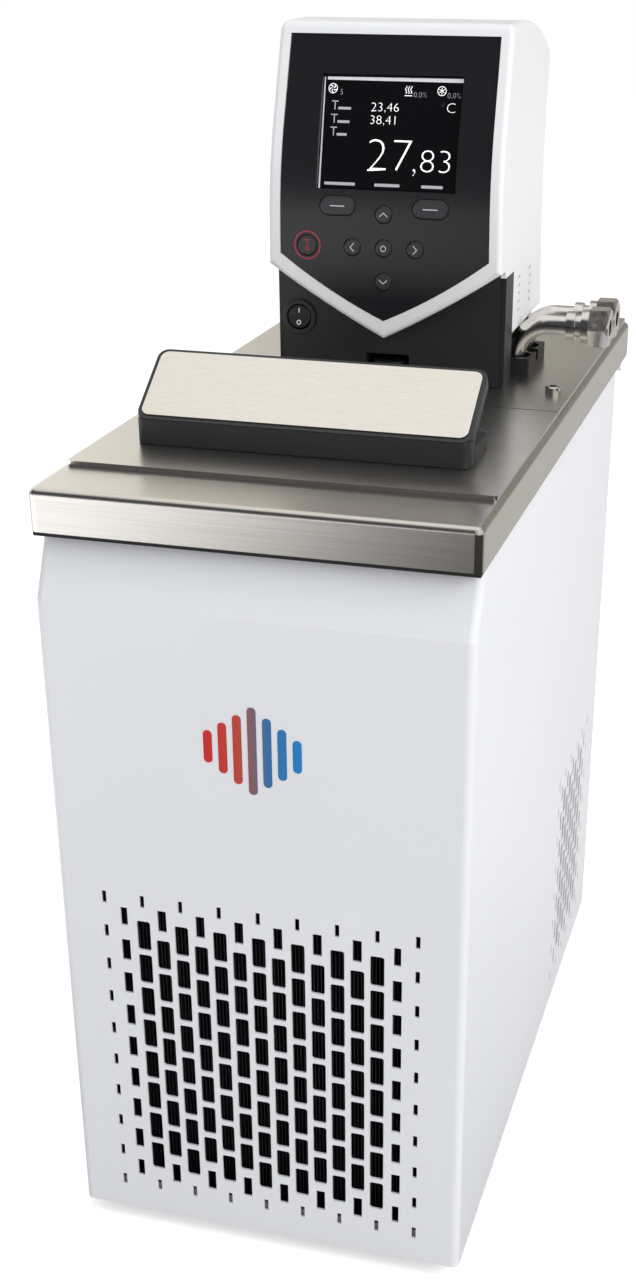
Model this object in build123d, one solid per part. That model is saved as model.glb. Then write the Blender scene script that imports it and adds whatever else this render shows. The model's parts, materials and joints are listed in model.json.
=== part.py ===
"""Benchtop refrigerated circulator: a bath with a control head on a cooling cabinet.

X runs to the right, Y to the rear, Z up, in millimetres. Lengths along Y are measured
from the cabinet's front face while modelling; on export the origin goes to the bench,
under the middle of the cabinet. Heights are measured from the bench.
"""
import math
import os

from build123d import *

# Fits and general sheet sizes
FIT = 0.3                    # clearance between neighbouring pieces
SHAFT_FIT = 0.05             # radial clearance of a shaft in its bearing
SHEET = 1.2                  # painted sheet of the cabinet
STEEL = 1.0                  # stainless sheet of lid, bridge plate and tank

# Cabinet
FOOT_HEIGHT = 8.0
FOOT_RADIUS = 11.0
FOOT_INSET = 24.0            # foot centre from the cabinet's outer faces
CABINET_WIDTH = 200.0
CABINET_DEPTH = 376.0
SHELL_TOP = 370.4            # top edge of the folded shell
LEAN_START = 342.6           # height where the front starts to lean back
LEAN_SETBACK = 13.6          # how far the front has leaned back at its top edge
BEND_RADIUS = 4.0
SHELL_FLANGE = 10.0          # inward folds of the shell at top and rear
TRAY_WALL = 18.0

# Graded air grille punched in the front and in both sides
HOLE_PITCH_ACROSS = 9.64
HOLE_PITCH_UP = 18.74
HOLE_TINY = (2.2, 6.5)
HOLE_CORNER = (3.5, 9.8)
HOLE_MEDIUM = (4.5, 11.6)
HOLE_LARGE = (6.9, 16.1)
HOLE_CLIP = 0.8              # corner cut of the large holes
FRONT_COLUMNS = 17
FRONT_ROWS = 10
FRONT_GRILLE_LOW = 25.5      # centre height of the lowest row
SIDE_COLUMNS = 11
SIDE_ROWS = 8
SIDE_GRILLE_FRONT = 249.0    # centre of the foremost column
SIDE_GRILLE_LOW = 25.5

# Rear panel
VENT_SLOT = (64.0, 4.0)
VENT_PITCH = 9.0
VENT_ROWS = 12
VENT_LOW = 40.0
VENT_OFFSET = 44.0           # slot centre from the middle of the panel

# Rim frame round the bath and its seal
GASKET = 2.0
GASKET_INSET = 1.2
RIM_OVERHANG = 1.2           # rim beyond the cabinet at each side
RIM_FRONT = 3.2
RIM_BACK = 415.9
RIM_HEIGHT = 19.5
RIM_ROLL = 3.0
RIM_CORNER = 4.0

# Bath tank
TANK_WIDTH = 152.0
TANK_FRONT = 54.0
TANK_BACK = 318.0
TANK_DEPTH = 160.0
TANK_CORNER = 14.0
TANK_FLANGE = 7.0
FOAM_BELOW = 24.0
FOAM_BEHIND = 26.0

# Lid and bridge plate
PLATE_MARGIN = 2.4           # from the rim's outer side to lid and bridge plate
PLATE_HEIGHT = 2.2
PLATE_CORNER = 2.0
LID_FRONT = 40.5
LID_BACK = 184.4
LID_SKIRT = 9.0
LID_SKIRT_GAP = 3.0          # skirt inside the tank opening
PLATE_GAP = 0.9
BRIDGE_END_MARGIN = 2.4

# Lid handle
HANDLE_WIDTH = 158.0
HANDLE_FRONT = 74.5
HANDLE_BASE_DEPTH = 38.5
HANDLE_BASE_HEIGHT = 7.6
HANDLE_NOSE = 12.2           # height of the upright front face
HANDLE_LEAN = 34.5           # slope of the grip, degrees from level
HANDLE_SLOPE = 42.5          # length of the sloping face
HANDLE_GRIP = 6.0            # thickness of the sloping grip
HANDLE_CORNER = 5.0
HANDLE_PLATE_INSET = 2.0
HANDLE_PLATE = 1.0
HANDLE_PLATE_CORNER = 4.0

# Control head, its front surface rises upright, then bends back and leans
HEAD_X = 2.2                 # head centre to the right of the cabinet's middle
HEAD_WIDTH = 120.8
HEAD_TOP_WIDTH = 117.6
HEAD_FRONT = 208.7
HEAD_TOP = 567.0
HEAD_STRAIGHT = 478.0        # top of the upright stretch
HEAD_BEND = 140.0            # radius of the bend
HEAD_LEAN = 18.5             # degrees
HEAD_BACK_TOP = 330.0
HEAD_BACK_WAIST = 319.2
HEAD_BACK_FOOT = 326.0
HEAD_REAR_CORNER = 549.0     # height where top and back meet
HEAD_ROOF_FLAT = 262.0       # where the roof starts to fall to the rear
HEAD_WALL = 2.6
SLOT_COLUMNS = (258.0, 286.5)   # side vents of the head
SLOT_ROWS = 5
SLOT_TOP = 444.5
SLOT_PITCH = 4.2
SLOT_SIZE = (4.6, 1.6)
HEAD_CORNER = 5.0
HEAD_REAR_RADIUS = 8.0
HEAD_EDGE = 2.6              # rounding of the bezel and of the front's side edges
BEZEL_DEPTH = 13.3           # bezel proud of the lower housing
BEZEL_EARS = 453.6           # where the V starts at both sides
BEZEL_APEX = 418.8
BEZEL_BOW = 1.2
SKIRT_LOW = 449.8            # lower edge of the white sides
SKIRT_STEP = 243.0           # behind this the white sides reach further down
SKIRT_REAR_LOW = 418.9

# Front panel, window and keys, heights from the bench
PANEL_HALF_LOW = 54.0
PANEL_HALF_TOP = 52.6
PANEL_EARS = 459.2
PANEL_APEX = 427.9
PANEL_BOW = 1.8
PANEL_TOP = 561.2
PANEL_RECESS = 0.9
PANEL_THICKNESS = 2.4
PANEL_FLANGE = 1.8           # flange behind the head shell
PANEL_FLANGE_REAR = 3.8      # its rear face from the head's surface
WINDOW_WIDTH = 71.0
WINDOW_LOW = 491.2
WINDOW_TOP = 543.6
WINDOW_X = 0.6
DISPLAY_RECESS = 2.0
DISPLAY_THICKNESS = 4.0
DISPLAY_BORDER = 1.8
DISPLAY_LOWER_BORDER = 0.8
DISPLAY_SLAB_RECESS = 3.2    # display body behind the window's end points
KEY_RADIUS = 4.25
LIMIT_KEY_RADIUS = 5.1
SOFT_KEY = (18.2, 9.2)
KEY_PROUD = 0.5
KEY_LENGTH = 4.6
KEY_LIP = 0.7
KEY_LIP_THICKNESS = 0.8
KEY_TRAVEL = 0.8
KEY_SPACING = 16.3           # arrow keys from the middle key
KEYPAD_HEIGHT = 463.6
SOFT_KEY_HEIGHT = 483.3
SOFT_KEY_OFFSET = 23.9
LIMIT_KEY_OFFSET = -39.9
BOARD = 1.6
KEYPAD_POSTS = ((-44.0, 476.0), (44.0, 476.0), (-14.0, 447.5), (14.0, 447.5))

# Lower housing of the head, switch and flow knob
BASE_WALL = 2.5
COVER = 2.5
COVER_SEAM = 2.8             # side margin of the front cover
COVER_TOP = 462.0
BAY_WIDTH = 15.5             # recess for the pump pipes on the right
SWITCH_X = -46.3
SWITCH_Z = 424.9
SWITCH_RADIUS = 9.0
SWITCH_BARREL = 7.8
SWITCH_PROUD = 1.6
ROCKER_RADIUS = 6.2
ROCKER_TILT = 7.0
KNOB_X = 1.2
KNOB_RADIUS = 9.7
KNOB_HEIGHT = 8.4
KNOB_RECESS = (23.2, 14.2)
KNOB_SETBACK = 9.0           # knob axis behind the cover's face
KNOB_STEM = 2.5
KNOB_FLUTES = 18

# Pump connections at the right side of the head
PIPE_FRONT_Y = 262.0
PIPE_REAR_Y = 286.0
PIPE_X = 61.5
PIPE_AXIS_Z = 420.0
PIPE_RADIUS = 5.2
PIPE_BORE = 4.2
PIPE_BEND = 17.0
PIPE_END = 90.0
BLOCK_LEFT = 50.0
BLOCK_RIGHT = 70.7
BLOCK_FRONT = 252.5
BLOCK_BACK = 297.0
BLOCK_HEIGHT = 9.0
FITTING_END = 112.0
NUT_ACROSS = 19.0
NUT_LENGTH = 10.5
NUT_X = 100.6
SCREW_HEAD = 4.0
SCREW_HEAD_HEIGHT = 3.6
SCREW_SHANK = 2.4
SCREW_INSET = 11.8           # bridge screws from the rim's outer side
SCREW_FRONT = 221.0
SCREW_REAR = 398.0

# Pump, heater, probe and float under the bridge plate
PUMP_X = 2.0
PUMP_Y = 270.0
PUMP_COLUMN = 12.0
PUMP_HOUSING_RADIUS = 21.0
PUMP_HOUSING_HEIGHT = 20.0
PUMP_HOUSING_LOW = 252.0
PUMP_SHAFT = 3.0
PUMP_MOTOR_RADIUS = 24.0
PUMP_MOTOR_HEIGHT = 62.0
IMPELLER_RADIUS = 15.0
HEATER_TUBE = 3.5
HEATER_Y = 205.0
HEATER_LOW = 256.0
HEATER_LEGS = (-56.0, -32.0, -8.0, 16.0)
PROBE_X = 34.0
PROBE_Y = 206.0
PROBE_RADIUS = 2.0
PROBE_LOW = 290.0
FLOAT_X = 56.0
FLOAT_Y = 206.0
FLOAT_STEM = 2.0
FLOAT_RADIUS = 8.0
FLOAT_HEIGHT = 14.0
FLOAT_LOW = 335.0
FLOAT_TRAVEL = 10.0
EVAPORATOR_TUBE = 4.0
EVAPORATOR_BEND = 9.0
EVAPORATOR_HALF = 54.0
EVAPORATOR_LOW = 262.0
EVAPORATOR_PITCH = 20.0
EVAPORATOR_EXIT = 352.0

# Cooling machine in the lower cabinet
CONDENSER_HALF = 80.0
CONDENSER_LOW = 17.0
CONDENSER_TOP = 203.0
CONDENSER_FRONT = 8.0
CONDENSER_DEPTH = 34.0
FIN_PITCH = 1.8
FIN = 0.5
FIN_DEPTH = 16.0
FIN_WEB = 0.6
CONDENSER_TUBE = 4.0
CONDENSER_PASS = 40.0
CONDENSER_BEND = 17.0
FAN_Z = 108.0
FAN_OPENING = 66.0
FAN_RADIUS = 61.0
FAN_RING = 18.0
FAN_HUB = 18.0
FAN_HUB_LENGTH = 16.0
FAN_BLADES = 5
FAN_BLADE_PITCH = 32.0
FAN_BLADE_WIDTH = 26.0
FAN_SHAFT = 3.0
FAN_MOTOR_RADIUS = 27.0
FAN_MOTOR_LENGTH = 34.0
FAN_MOTOR_GAP = 5.0          # hub to motor
COMPRESSOR_Y = 262.0
COMPRESSOR_RADIUS = 62.0
COMPRESSOR_HEIGHT = 150.0
COMPRESSOR_CROWN = 26.0
COMPRESSOR_PLATE = (164.0, 116.0, 3.0)
GROMMET_RADIUS = 10.0
GROMMET_HEIGHT = 12.0
GROMMET_SPACING = (132.0, 84.0)
PORT_X = 30.0                # line stubs beside the compressor's middle
PORT_Z = 130.0
LINE_RADIUS = 3.0
LINE_BEND = 8.0
LINE_X = 91.4                # riser beside the condenser
CAPILLARY = 1.5
CAPILLARY_Z = 192.0
DRIER_X = 72.0
DRIER_Y = 180.0
DRIER_LOW = 66.0
DRIER_RADIUS = 10.0
DRIER_LENGTH = 70.0

# Drain valve and power inlets
DRAIN_X = -52.0
DRAIN_DROP = 15.0            # drain tube axis below the tank
DRAIN_TUBE = 6.0
DRAIN_BODY = 10.0
DRAIN_END = 408.0
LEVER_LENGTH = 26.0
INLET_FLANGE = (50.0, 24.0, 2.0)
INLET_BODY = (27.0, 20.0, 22.0)
HEAD_INLET_Z = 440.0
CABINET_INLET_X = 0.0
CABINET_INLET_Z = 330.0

# Heights and depths that follow from the sizes above
RIM_BOTTOM = SHELL_TOP + GASKET
RIM_TOP = RIM_BOTTOM + RIM_HEIGHT
PLATE_TOP = RIM_TOP + PLATE_HEIGHT
RIM_HALF = CABINET_WIDTH / 2 + RIM_OVERHANG
PLATE_HALF = RIM_HALF - PLATE_MARGIN
TANK_TOP = RIM_TOP - STEEL
TANK_BOTTOM = TANK_TOP - TANK_DEPTH
FOAM_BACK = TANK_BACK + FOAM_BEHIND
DRAIN_Z = TANK_BOTTOM - DRAIN_DROP
COVER_FACE = HEAD_FRONT + BEZEL_DEPTH
PANEL_FACE = HEAD_FRONT + PANEL_RECESS
PANEL_REAR = PANEL_FACE + PANEL_THICKNESS
KEY_FACE = PANEL_FACE - KEY_PROUD
KEY_REAR = KEY_FACE + KEY_LENGTH
BRIDGE_FRONT = LID_BACK + PLATE_GAP
BRIDGE_BACK = RIM_BACK - BRIDGE_END_MARGIN
SHROUD_Y = CONDENSER_FRONT + CONDENSER_DEPTH
FAN_HUB_Y = SHROUD_Y + 4.0
FAN_MOTOR_Y = FAN_HUB_Y + FAN_HUB_LENGTH + FAN_MOTOR_GAP
HEAD_HALF = HEAD_WIDTH / 2


def block(x0, x1, y0, y1, z0, z1):
    """Box between two opposite corners."""
    return Pos((x0 + x1) / 2, (y0 + y1) / 2, (z0 + z1) / 2) * Box(x1 - x0, y1 - y0, z1 - z0)


def rod_z(x, y, z0, z1, radius):
    """Upright cylinder."""
    return Pos(x, y, (z0 + z1) / 2) * Cylinder(radius, z1 - z0)


def rod_y(x, z, y0, y1, radius):
    """Cylinder along Y."""
    return Pos(x, (y0 + y1) / 2, z) * Rot(90, 0, 0) * Cylinder(radius, y1 - y0)


def rod_x(y, z, x0, x1, radius):
    """Cylinder along X."""
    return Pos((x0 + x1) / 2, y, z) * Rot(0, 90, 0) * Cylinder(radius, x1 - x0)


def side_prism(outline, x0, x1):
    """Face given by (y, z) points or edges, drawn out along X."""
    return extrude(Plane.YZ.offset(x0) * outline, amount=x1 - x0)


def front_prism(outline, y0, y1):
    """Face given in (x, z), drawn out along Y."""
    return extrude(Plane.XZ.offset(-y1) * outline, amount=y1 - y0)


def polygon(*points):
    return make_face(Polyline(*points, close=True))


def upright_edges(solid):
    return solid.edges().filter_by(Axis.Z)


def tube(points, bend, radius, bore=0.0):
    """Round tube along straight runs joined by tangent arcs."""
    path = FilletPolyline(*points, radius=bend)
    start = Plane(origin=path @ 0, z_dir=path % 0)
    solid = sweep(start * Circle(radius), path=path)
    if bore:
        solid -= sweep(start * Circle(bore), path=path)
    return solid


# Cabinet

def grille_holes(columns, rows):
    """Staggered punch pattern, small at its border and large inside, centred in x."""
    last_column = columns - 1
    last_step = 2 * (rows - 1)
    holes = []
    for column in range(columns):
        for step in range(column % 2, last_step + 1, 2):
            from_side = min(column, last_column - column)
            from_end = min(step, last_step - step)
            depth = min(from_side, from_end)
            if depth == 0:
                size = HOLE_TINY
            elif from_side == 1 and from_end == 1:
                size = HOLE_CORNER
            elif depth == 1:
                size = HOLE_MEDIUM
            else:
                size = HOLE_LARGE
            hole = Rectangle(*size)
            if depth > 1:
                hole = chamfer(hole.vertices(), HOLE_CLIP)
            x = (column - last_column / 2) * HOLE_PITCH_ACROSS
            z = step * HOLE_PITCH_UP / 2
            holes.append(Pos(x, z) * hole)
    return holes


def shell_form(inset, overrun):
    """Cabinet outline in side view, drawn out to its width and rounded at the front."""
    low = FOOT_HEIGHT - overrun
    top = SHELL_TOP + overrun
    lean = LEAN_SETBACK / (SHELL_TOP - LEAN_START)
    slant = math.hypot(1.0, lean)
    kink = LEAN_START + inset * (slant - 1) / lean
    setback = inset + (top - kink) * lean
    back = CABINET_DEPTH + overrun
    outline = polygon((inset, low), (inset, kink), (setback, top), (back, top), (back, low))
    half = CABINET_WIDTH / 2 - inset
    form = side_prism(outline, -half, half)
    front = form.edges().filter_by(lambda e: abs(e.tangent_at(0).X) < 0.01)
    corners = [e for e in front if e.center().Y < setback and abs(e.center().X) > half - 0.01]
    return fillet(corners, BEND_RADIUS - inset)


def make_cabinet_shell():
    shell = shell_form(0.0, 0.0) - shell_form(SHEET, 1.0)
    half = CABINET_WIDTH / 2
    flange_z = SHELL_TOP - SHEET
    inner = half - SHEET
    front = LEAN_SETBACK + SHEET
    shell += block(-inner, inner, front, front + SHELL_FLANGE, flange_z, SHELL_TOP)
    for side in (-1, 1):
        x_out = side * inner
        x_in = side * (half - SHELL_FLANGE)
        shell += block(min(x_in, x_out), max(x_in, x_out), front, CABINET_DEPTH,
                       flange_z, SHELL_TOP)
        shell += block(min(x_in, x_out), max(x_in, x_out), CABINET_DEPTH - SHEET,
                       CABINET_DEPTH, FOOT_HEIGHT, SHELL_TOP)
    front_place = Pos(0, FRONT_GRILLE_LOW)
    front_holes = [front_place * hole for hole in grille_holes(FRONT_COLUMNS, FRONT_ROWS)]
    shell -= front_prism(Sketch(children=front_holes), -1, SHEET + 1)
    side_place = Pos(SIDE_GRILLE_FRONT + (SIDE_COLUMNS - 1) / 2 * HOLE_PITCH_ACROSS,
                     SIDE_GRILLE_LOW)
    side_holes = [side_place * hole for hole in grille_holes(SIDE_COLUMNS, SIDE_ROWS)]
    shell -= side_prism(Sketch(children=side_holes), -half - 1, half + 1)
    return shell


def make_base_tray():
    half = CABINET_WIDTH / 2 - SHEET - FIT
    front = SHEET + FIT
    back = CABINET_DEPTH - SHEET - FIT
    tray = block(-half, half, front, back, FOOT_HEIGHT, FOOT_HEIGHT + TRAY_WALL)
    tray = fillet(upright_edges(tray), BEND_RADIUS)
    inside = block(-half + SHEET, half - SHEET, front + SHEET, back - SHEET,
                   FOOT_HEIGHT + SHEET, FOOT_HEIGHT + TRAY_WALL + 1)
    return tray - inside


def make_feet():
    feet = []
    for x in (-1, 1):
        for y in (FOOT_INSET, CABINET_DEPTH - FOOT_INSET):
            foot = Pos(x * (CABINET_WIDTH / 2 - FOOT_INSET), y, FOOT_HEIGHT / 2) * Cone(
                FOOT_RADIUS - 1.5, FOOT_RADIUS, FOOT_HEIGHT)
            feet.append(foot)
    return Part() + feet


def make_rear_panel():
    """Rear sheet, folded outward at its top into a shelf that carries the rim."""
    face = CABINET_DEPTH
    out = RIM_BACK - 2 * SHEET
    lip = 8.0
    low = FOOT_HEIGHT + 2.0
    outline = polygon(
        (face, low), (face + SHEET, low), (face + SHEET, SHELL_TOP - SHEET),
        (out - SHEET, SHELL_TOP - SHEET), (out - SHEET, SHELL_TOP - lip),
        (out, SHELL_TOP - lip), (out, SHELL_TOP), (face, SHELL_TOP))
    half = CABINET_WIDTH / 2 - 2.0
    panel = side_prism(outline, -half, half)
    slots = [Pos(side * VENT_OFFSET, VENT_LOW + row * VENT_PITCH) * Rectangle(*VENT_SLOT)
             for side in (-1, 1) for row in range(VENT_ROWS)]
    panel -= front_prism(Sketch() + slots, face - 1, face + SHEET + 1)
    panel -= rod_y(DRAIN_X, DRAIN_Z, face - 1, face + SHEET + 1, DRAIN_TUBE + FIT)
    wide, high, _ = INLET_BODY
    panel -= Pos(CABINET_INLET_X, face, CABINET_INLET_Z) * Box(
        wide + 2 * FIT, 10, high + 2 * FIT)
    return panel


# Rim, tank and insulation

def make_rim_gasket():
    half = RIM_HALF - GASKET_INSET
    ring = block(-half, half, RIM_FRONT + GASKET_INSET, RIM_BACK - GASKET_INSET,
                 SHELL_TOP, RIM_BOTTOM)
    inner = CABINET_WIDTH / 2 - SHELL_FLANGE
    front = LEAN_SETBACK + SHEET + SHELL_FLANGE
    return ring - block(-inner, inner, front, CABINET_DEPTH - SHELL_FLANGE,
                        SHELL_TOP - 1, RIM_BOTTOM + 1)


def make_rim_frame():
    rim = block(-RIM_HALF, RIM_HALF, RIM_FRONT, RIM_BACK, RIM_BOTTOM, RIM_TOP)
    rim = fillet(upright_edges(rim), RIM_CORNER)
    rim = fillet(rim.faces().sort_by(Axis.Z)[-1].edges(), RIM_ROLL)
    hollow = block(-RIM_HALF + STEEL, RIM_HALF - STEEL, RIM_FRONT + STEEL, RIM_BACK - STEEL,
                   RIM_BOTTOM - 1, RIM_TOP - STEEL)
    hollow = fillet(upright_edges(hollow), RIM_CORNER - STEEL)
    hollow = fillet(hollow.faces().sort_by(Axis.Z)[-1].edges(), RIM_ROLL - STEEL)
    rim -= hollow
    return rim - tank_form(-STEEL, RIM_TOP + 1)


def tank_form(outset, top):
    """Rounded tank body, grown outward by outset from the outer wall."""
    half = TANK_WIDTH / 2 + outset
    form = block(-half, half, TANK_FRONT - outset, TANK_BACK + outset,
                 TANK_BOTTOM - outset, top)
    form = fillet(upright_edges(form), TANK_CORNER + outset)
    return fillet(form.faces().sort_by(Axis.Z)[0].edges(), TANK_CORNER - 4.0 + outset)


def make_bath_tank():
    tank = tank_form(0.0, TANK_TOP)
    half = TANK_WIDTH / 2 + TANK_FLANGE
    flange = block(-half, half, TANK_FRONT - TANK_FLANGE, TANK_BACK + TANK_FLANGE,
                   TANK_TOP - STEEL, TANK_TOP)
    tank += fillet(upright_edges(flange), TANK_CORNER + TANK_FLANGE)
    tank -= tank_form(-STEEL, TANK_TOP + 1)
    tank -= rod_z(DRAIN_X, drain_bend_y(), TANK_BOTTOM - 5, TANK_BOTTOM + 5, DRAIN_TUBE - 1.5)
    for x in (-1, 1):
        tank -= rod_y(x * EVAPORATOR_HALF, EVAPORATOR_EXIT, TANK_BACK - 5, TANK_BACK + 5,
                      EVAPORATOR_TUBE + SHAFT_FIT)
    return tank


def make_tank_insulation():
    half = CABINET_WIDTH / 2 - SHEET - 2 * FIT
    front = LEAN_SETBACK + 2 * SHEET + FIT
    foam = block(-half, half, front, FOAM_BACK, TANK_BOTTOM - FOAM_BELOW,
                 SHELL_TOP - SHEET - FIT)
    half = CABINET_WIDTH / 2 - SHELL_FLANGE - 2 * FIT
    front = LEAN_SETBACK + SHEET + SHELL_FLANGE + 2 * FIT
    foam += block(-half, half, front, FOAM_BACK, SHELL_TOP - 10, TANK_TOP - STEEL - FIT)
    foam -= tank_form(FIT / 2, RIM_TOP)
    foam -= tube(drain_route(), drain_bend(), DRAIN_TUBE + FIT)
    for x in (-1, 1):
        foam -= rod_y(x * EVAPORATOR_HALF, EVAPORATOR_EXIT, TANK_BACK - 1,
                      FOAM_BACK + 1, EVAPORATOR_TUBE + FIT)
    return foam


def evaporator_exit_y():
    return FOAM_BACK + 8.0


def make_evaporator_coil():
    """Serpentine along the rear wall of the tank, both ends through the wall."""
    plane = TANK_BACK - STEEL - EVAPORATOR_TUBE - 1.0 - EVAPORATOR_BEND
    half = EVAPORATOR_HALF
    points = [(-half, evaporator_exit_y(), EVAPORATOR_EXIT), (-half, plane, EVAPORATOR_EXIT)]
    levels = [EVAPORATOR_LOW + n * EVAPORATOR_PITCH for n in range(4)]
    points += [(-half, plane, levels[0]), (half - 24, plane, levels[0]),
               (half - 24, plane, levels[1]), (-half + 24, plane, levels[1]),
               (-half + 24, plane, levels[2]), (half - 24, plane, levels[2]),
               (half - 24, plane, levels[3]), (half, plane, levels[3])]
    points += [(half, plane, EVAPORATOR_EXIT), (half, evaporator_exit_y(), EVAPORATOR_EXIT)]
    return tube(points, EVAPORATOR_BEND, EVAPORATOR_TUBE)


# Drain

def drain_bend():
    return 1.8 * DRAIN_TUBE


def drain_bend_y():
    return TANK_BACK - TANK_CORNER - DRAIN_TUBE - 4.0


def drain_route():
    y = drain_bend_y()
    return [(DRAIN_X, y, TANK_BOTTOM), (DRAIN_X, y, DRAIN_Z),
            (DRAIN_X, CABINET_DEPTH + SHEET + 2.0, DRAIN_Z)]


def make_drain_valve():
    """Tube from the tank's bottom, valve body behind the rear panel and hose nozzle."""
    y0 = CABINET_DEPTH + SHEET + FIT
    y1 = y0 + 18.0
    valve = tube(drain_route(), drain_bend(), DRAIN_TUBE)
    valve += rod_y(DRAIN_X, DRAIN_Z, y0, y1, DRAIN_BODY)
    valve += rod_y(DRAIN_X, DRAIN_Z, y1, DRAIN_END, DRAIN_TUBE)
    valve += rod_z(DRAIN_X, lever_y(), DRAIN_Z, lever_z() - FIT, 5.0)
    valve -= rod_z(DRAIN_X, lever_y(), DRAIN_Z + 4.0, lever_z(), 2.5 + SHAFT_FIT)
    return valve - rod_y(DRAIN_X, DRAIN_Z, y1 + 2.0, DRAIN_END + 1, DRAIN_TUBE - 1.5)


def lever_y():
    return CABINET_DEPTH + SHEET + FIT + 9.0


def lever_z():
    return DRAIN_Z + DRAIN_BODY + 3.0


def make_drain_lever():
    """Lever across the tube at rest, which is the closed position."""
    y, z = lever_y(), lever_z()
    lever = rod_z(DRAIN_X, y, z, z + 3.0, 6.0)
    lever += block(DRAIN_X, DRAIN_X + LEVER_LENGTH, y - 4.0, y + 4.0, z, z + 3.0)
    tips = [e for e in upright_edges(lever) if e.center().X > DRAIN_X + LEVER_LENGTH - 1]
    lever = fillet(tips, 3.9)
    return lever + rod_z(DRAIN_X, y, DRAIN_Z + 5.0, z, 2.5)


# Lid

def plate_form(y0, y1):
    """Shallow folded sheet cover with turned-down edges."""
    plate = block(-PLATE_HALF, PLATE_HALF, y0, y1, RIM_TOP, PLATE_TOP)
    plate = fillet(upright_edges(plate), PLATE_CORNER)
    hollow = block(-PLATE_HALF + STEEL, PLATE_HALF - STEEL, y0 + STEEL, y1 - STEEL,
                   RIM_TOP - 1, PLATE_TOP - STEEL)
    return plate - fillet(upright_edges(hollow), PLATE_CORNER - STEEL)


def make_bath_lid():
    lid = plate_form(LID_FRONT, LID_BACK)
    half = TANK_WIDTH / 2 - STEEL - LID_SKIRT_GAP
    y0 = TANK_FRONT + STEEL + LID_SKIRT_GAP
    y1 = LID_BACK - LID_SKIRT_GAP
    corner = TANK_CORNER - STEEL - LID_SKIRT_GAP
    skirt = block(-half, half, y0, y1, RIM_TOP - LID_SKIRT, PLATE_TOP - STEEL / 2)
    skirt = fillet(upright_edges(skirt), corner)
    hollow = block(-half + STEEL, half - STEEL, y0 + STEEL, y1 - STEEL,
                   RIM_TOP - LID_SKIRT - 1, PLATE_TOP)
    skirt -= fillet(upright_edges(hollow), corner - STEEL)
    return lid + skirt


def handle_slope():
    """Foot and head of the sloping face, as (y, z)."""
    angle = math.radians(HANDLE_LEAN)
    foot = (HANDLE_FRONT, PLATE_TOP + HANDLE_NOSE)
    head = (foot[0] + HANDLE_SLOPE * math.cos(angle), foot[1] + HANDLE_SLOPE * math.sin(angle))
    return foot, head


def slope_frame(x, along, out):
    """Place on the sloping face, along it from its foot and out from its surface."""
    foot, _ = handle_slope()
    angle = math.radians(HANDLE_LEAN)
    y = foot[0] + along * math.cos(angle) - out * math.sin(angle)
    z = foot[1] + along * math.sin(angle) + out * math.cos(angle)
    return Pos(x, y, z) * Rot(HANDLE_LEAN, 0, 0)


def make_lid_handle():
    """Moulded handle: a low base whose front runs up into a leaning finger grip."""
    foot, head = handle_slope()
    angle = math.radians(HANDLE_LEAN)
    drop = (HANDLE_GRIP * math.sin(angle), -HANDLE_GRIP * math.cos(angle))
    under = (head[0] + drop[0], head[1] + drop[1])
    base_top = PLATE_TOP + HANDLE_BASE_HEIGHT
    meet = under[0] - (under[1] - base_top) / math.tan(angle)
    back = HANDLE_FRONT + HANDLE_BASE_DEPTH
    outline = polygon((HANDLE_FRONT, PLATE_TOP), foot, head, under, (meet, base_top),
                      (back, base_top), (back, PLATE_TOP))
    half = HANDLE_WIDTH / 2
    handle = side_prism(outline, -half, half)
    plan = Pos(0, HANDLE_FRONT + HANDLE_BASE_DEPTH / 2) * RectangleRounded(
        HANDLE_WIDTH, HANDLE_BASE_DEPTH, HANDLE_CORNER)
    footprint = Pos(0, 0, PLATE_TOP) * extrude(plan, HANDLE_NOSE + 2 * HANDLE_SLOPE)
    face = slope_frame(0, HANDLE_SLOPE / 2, 0) * RectangleRounded(
        HANDLE_WIDTH, HANDLE_SLOPE, HANDLE_CORNER)
    handle &= footprint & extrude(face, 2 * HANDLE_SLOPE, both=True)
    width = HANDLE_WIDTH - 2 * HANDLE_PLATE_INSET
    length = HANDLE_SLOPE - 2 * HANDLE_PLATE_INSET
    seat = slope_frame(0, HANDLE_SLOPE / 2, -HANDLE_PLATE / 4)
    pocket = extrude(RectangleRounded(width + FIT, length + FIT, HANDLE_PLATE_CORNER), 2.0)
    return handle - seat * pocket


def make_handle_plate():
    width = HANDLE_WIDTH - 2 * HANDLE_PLATE_INSET
    length = HANDLE_SLOPE - 2 * HANDLE_PLATE_INSET
    seat = slope_frame(0, HANDLE_SLOPE / 2, -HANDLE_PLATE / 4)
    return seat * extrude(RectangleRounded(width, length, HANDLE_PLATE_CORNER), HANDLE_PLATE)


# Control head

def head_front_y(z):
    """Depth of the head's front surface at a height."""
    angle = math.radians(HEAD_LEAN)
    top_of_bend = HEAD_STRAIGHT + HEAD_BEND * math.sin(angle)
    if z <= HEAD_STRAIGHT:
        return HEAD_FRONT
    if z <= top_of_bend:
        return HEAD_FRONT + HEAD_BEND - math.sqrt(HEAD_BEND ** 2 - (z - HEAD_STRAIGHT) ** 2)
    bend_out = HEAD_BEND * (1 - math.cos(angle))
    return HEAD_FRONT + bend_out + (z - top_of_bend) * math.tan(angle)


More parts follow.
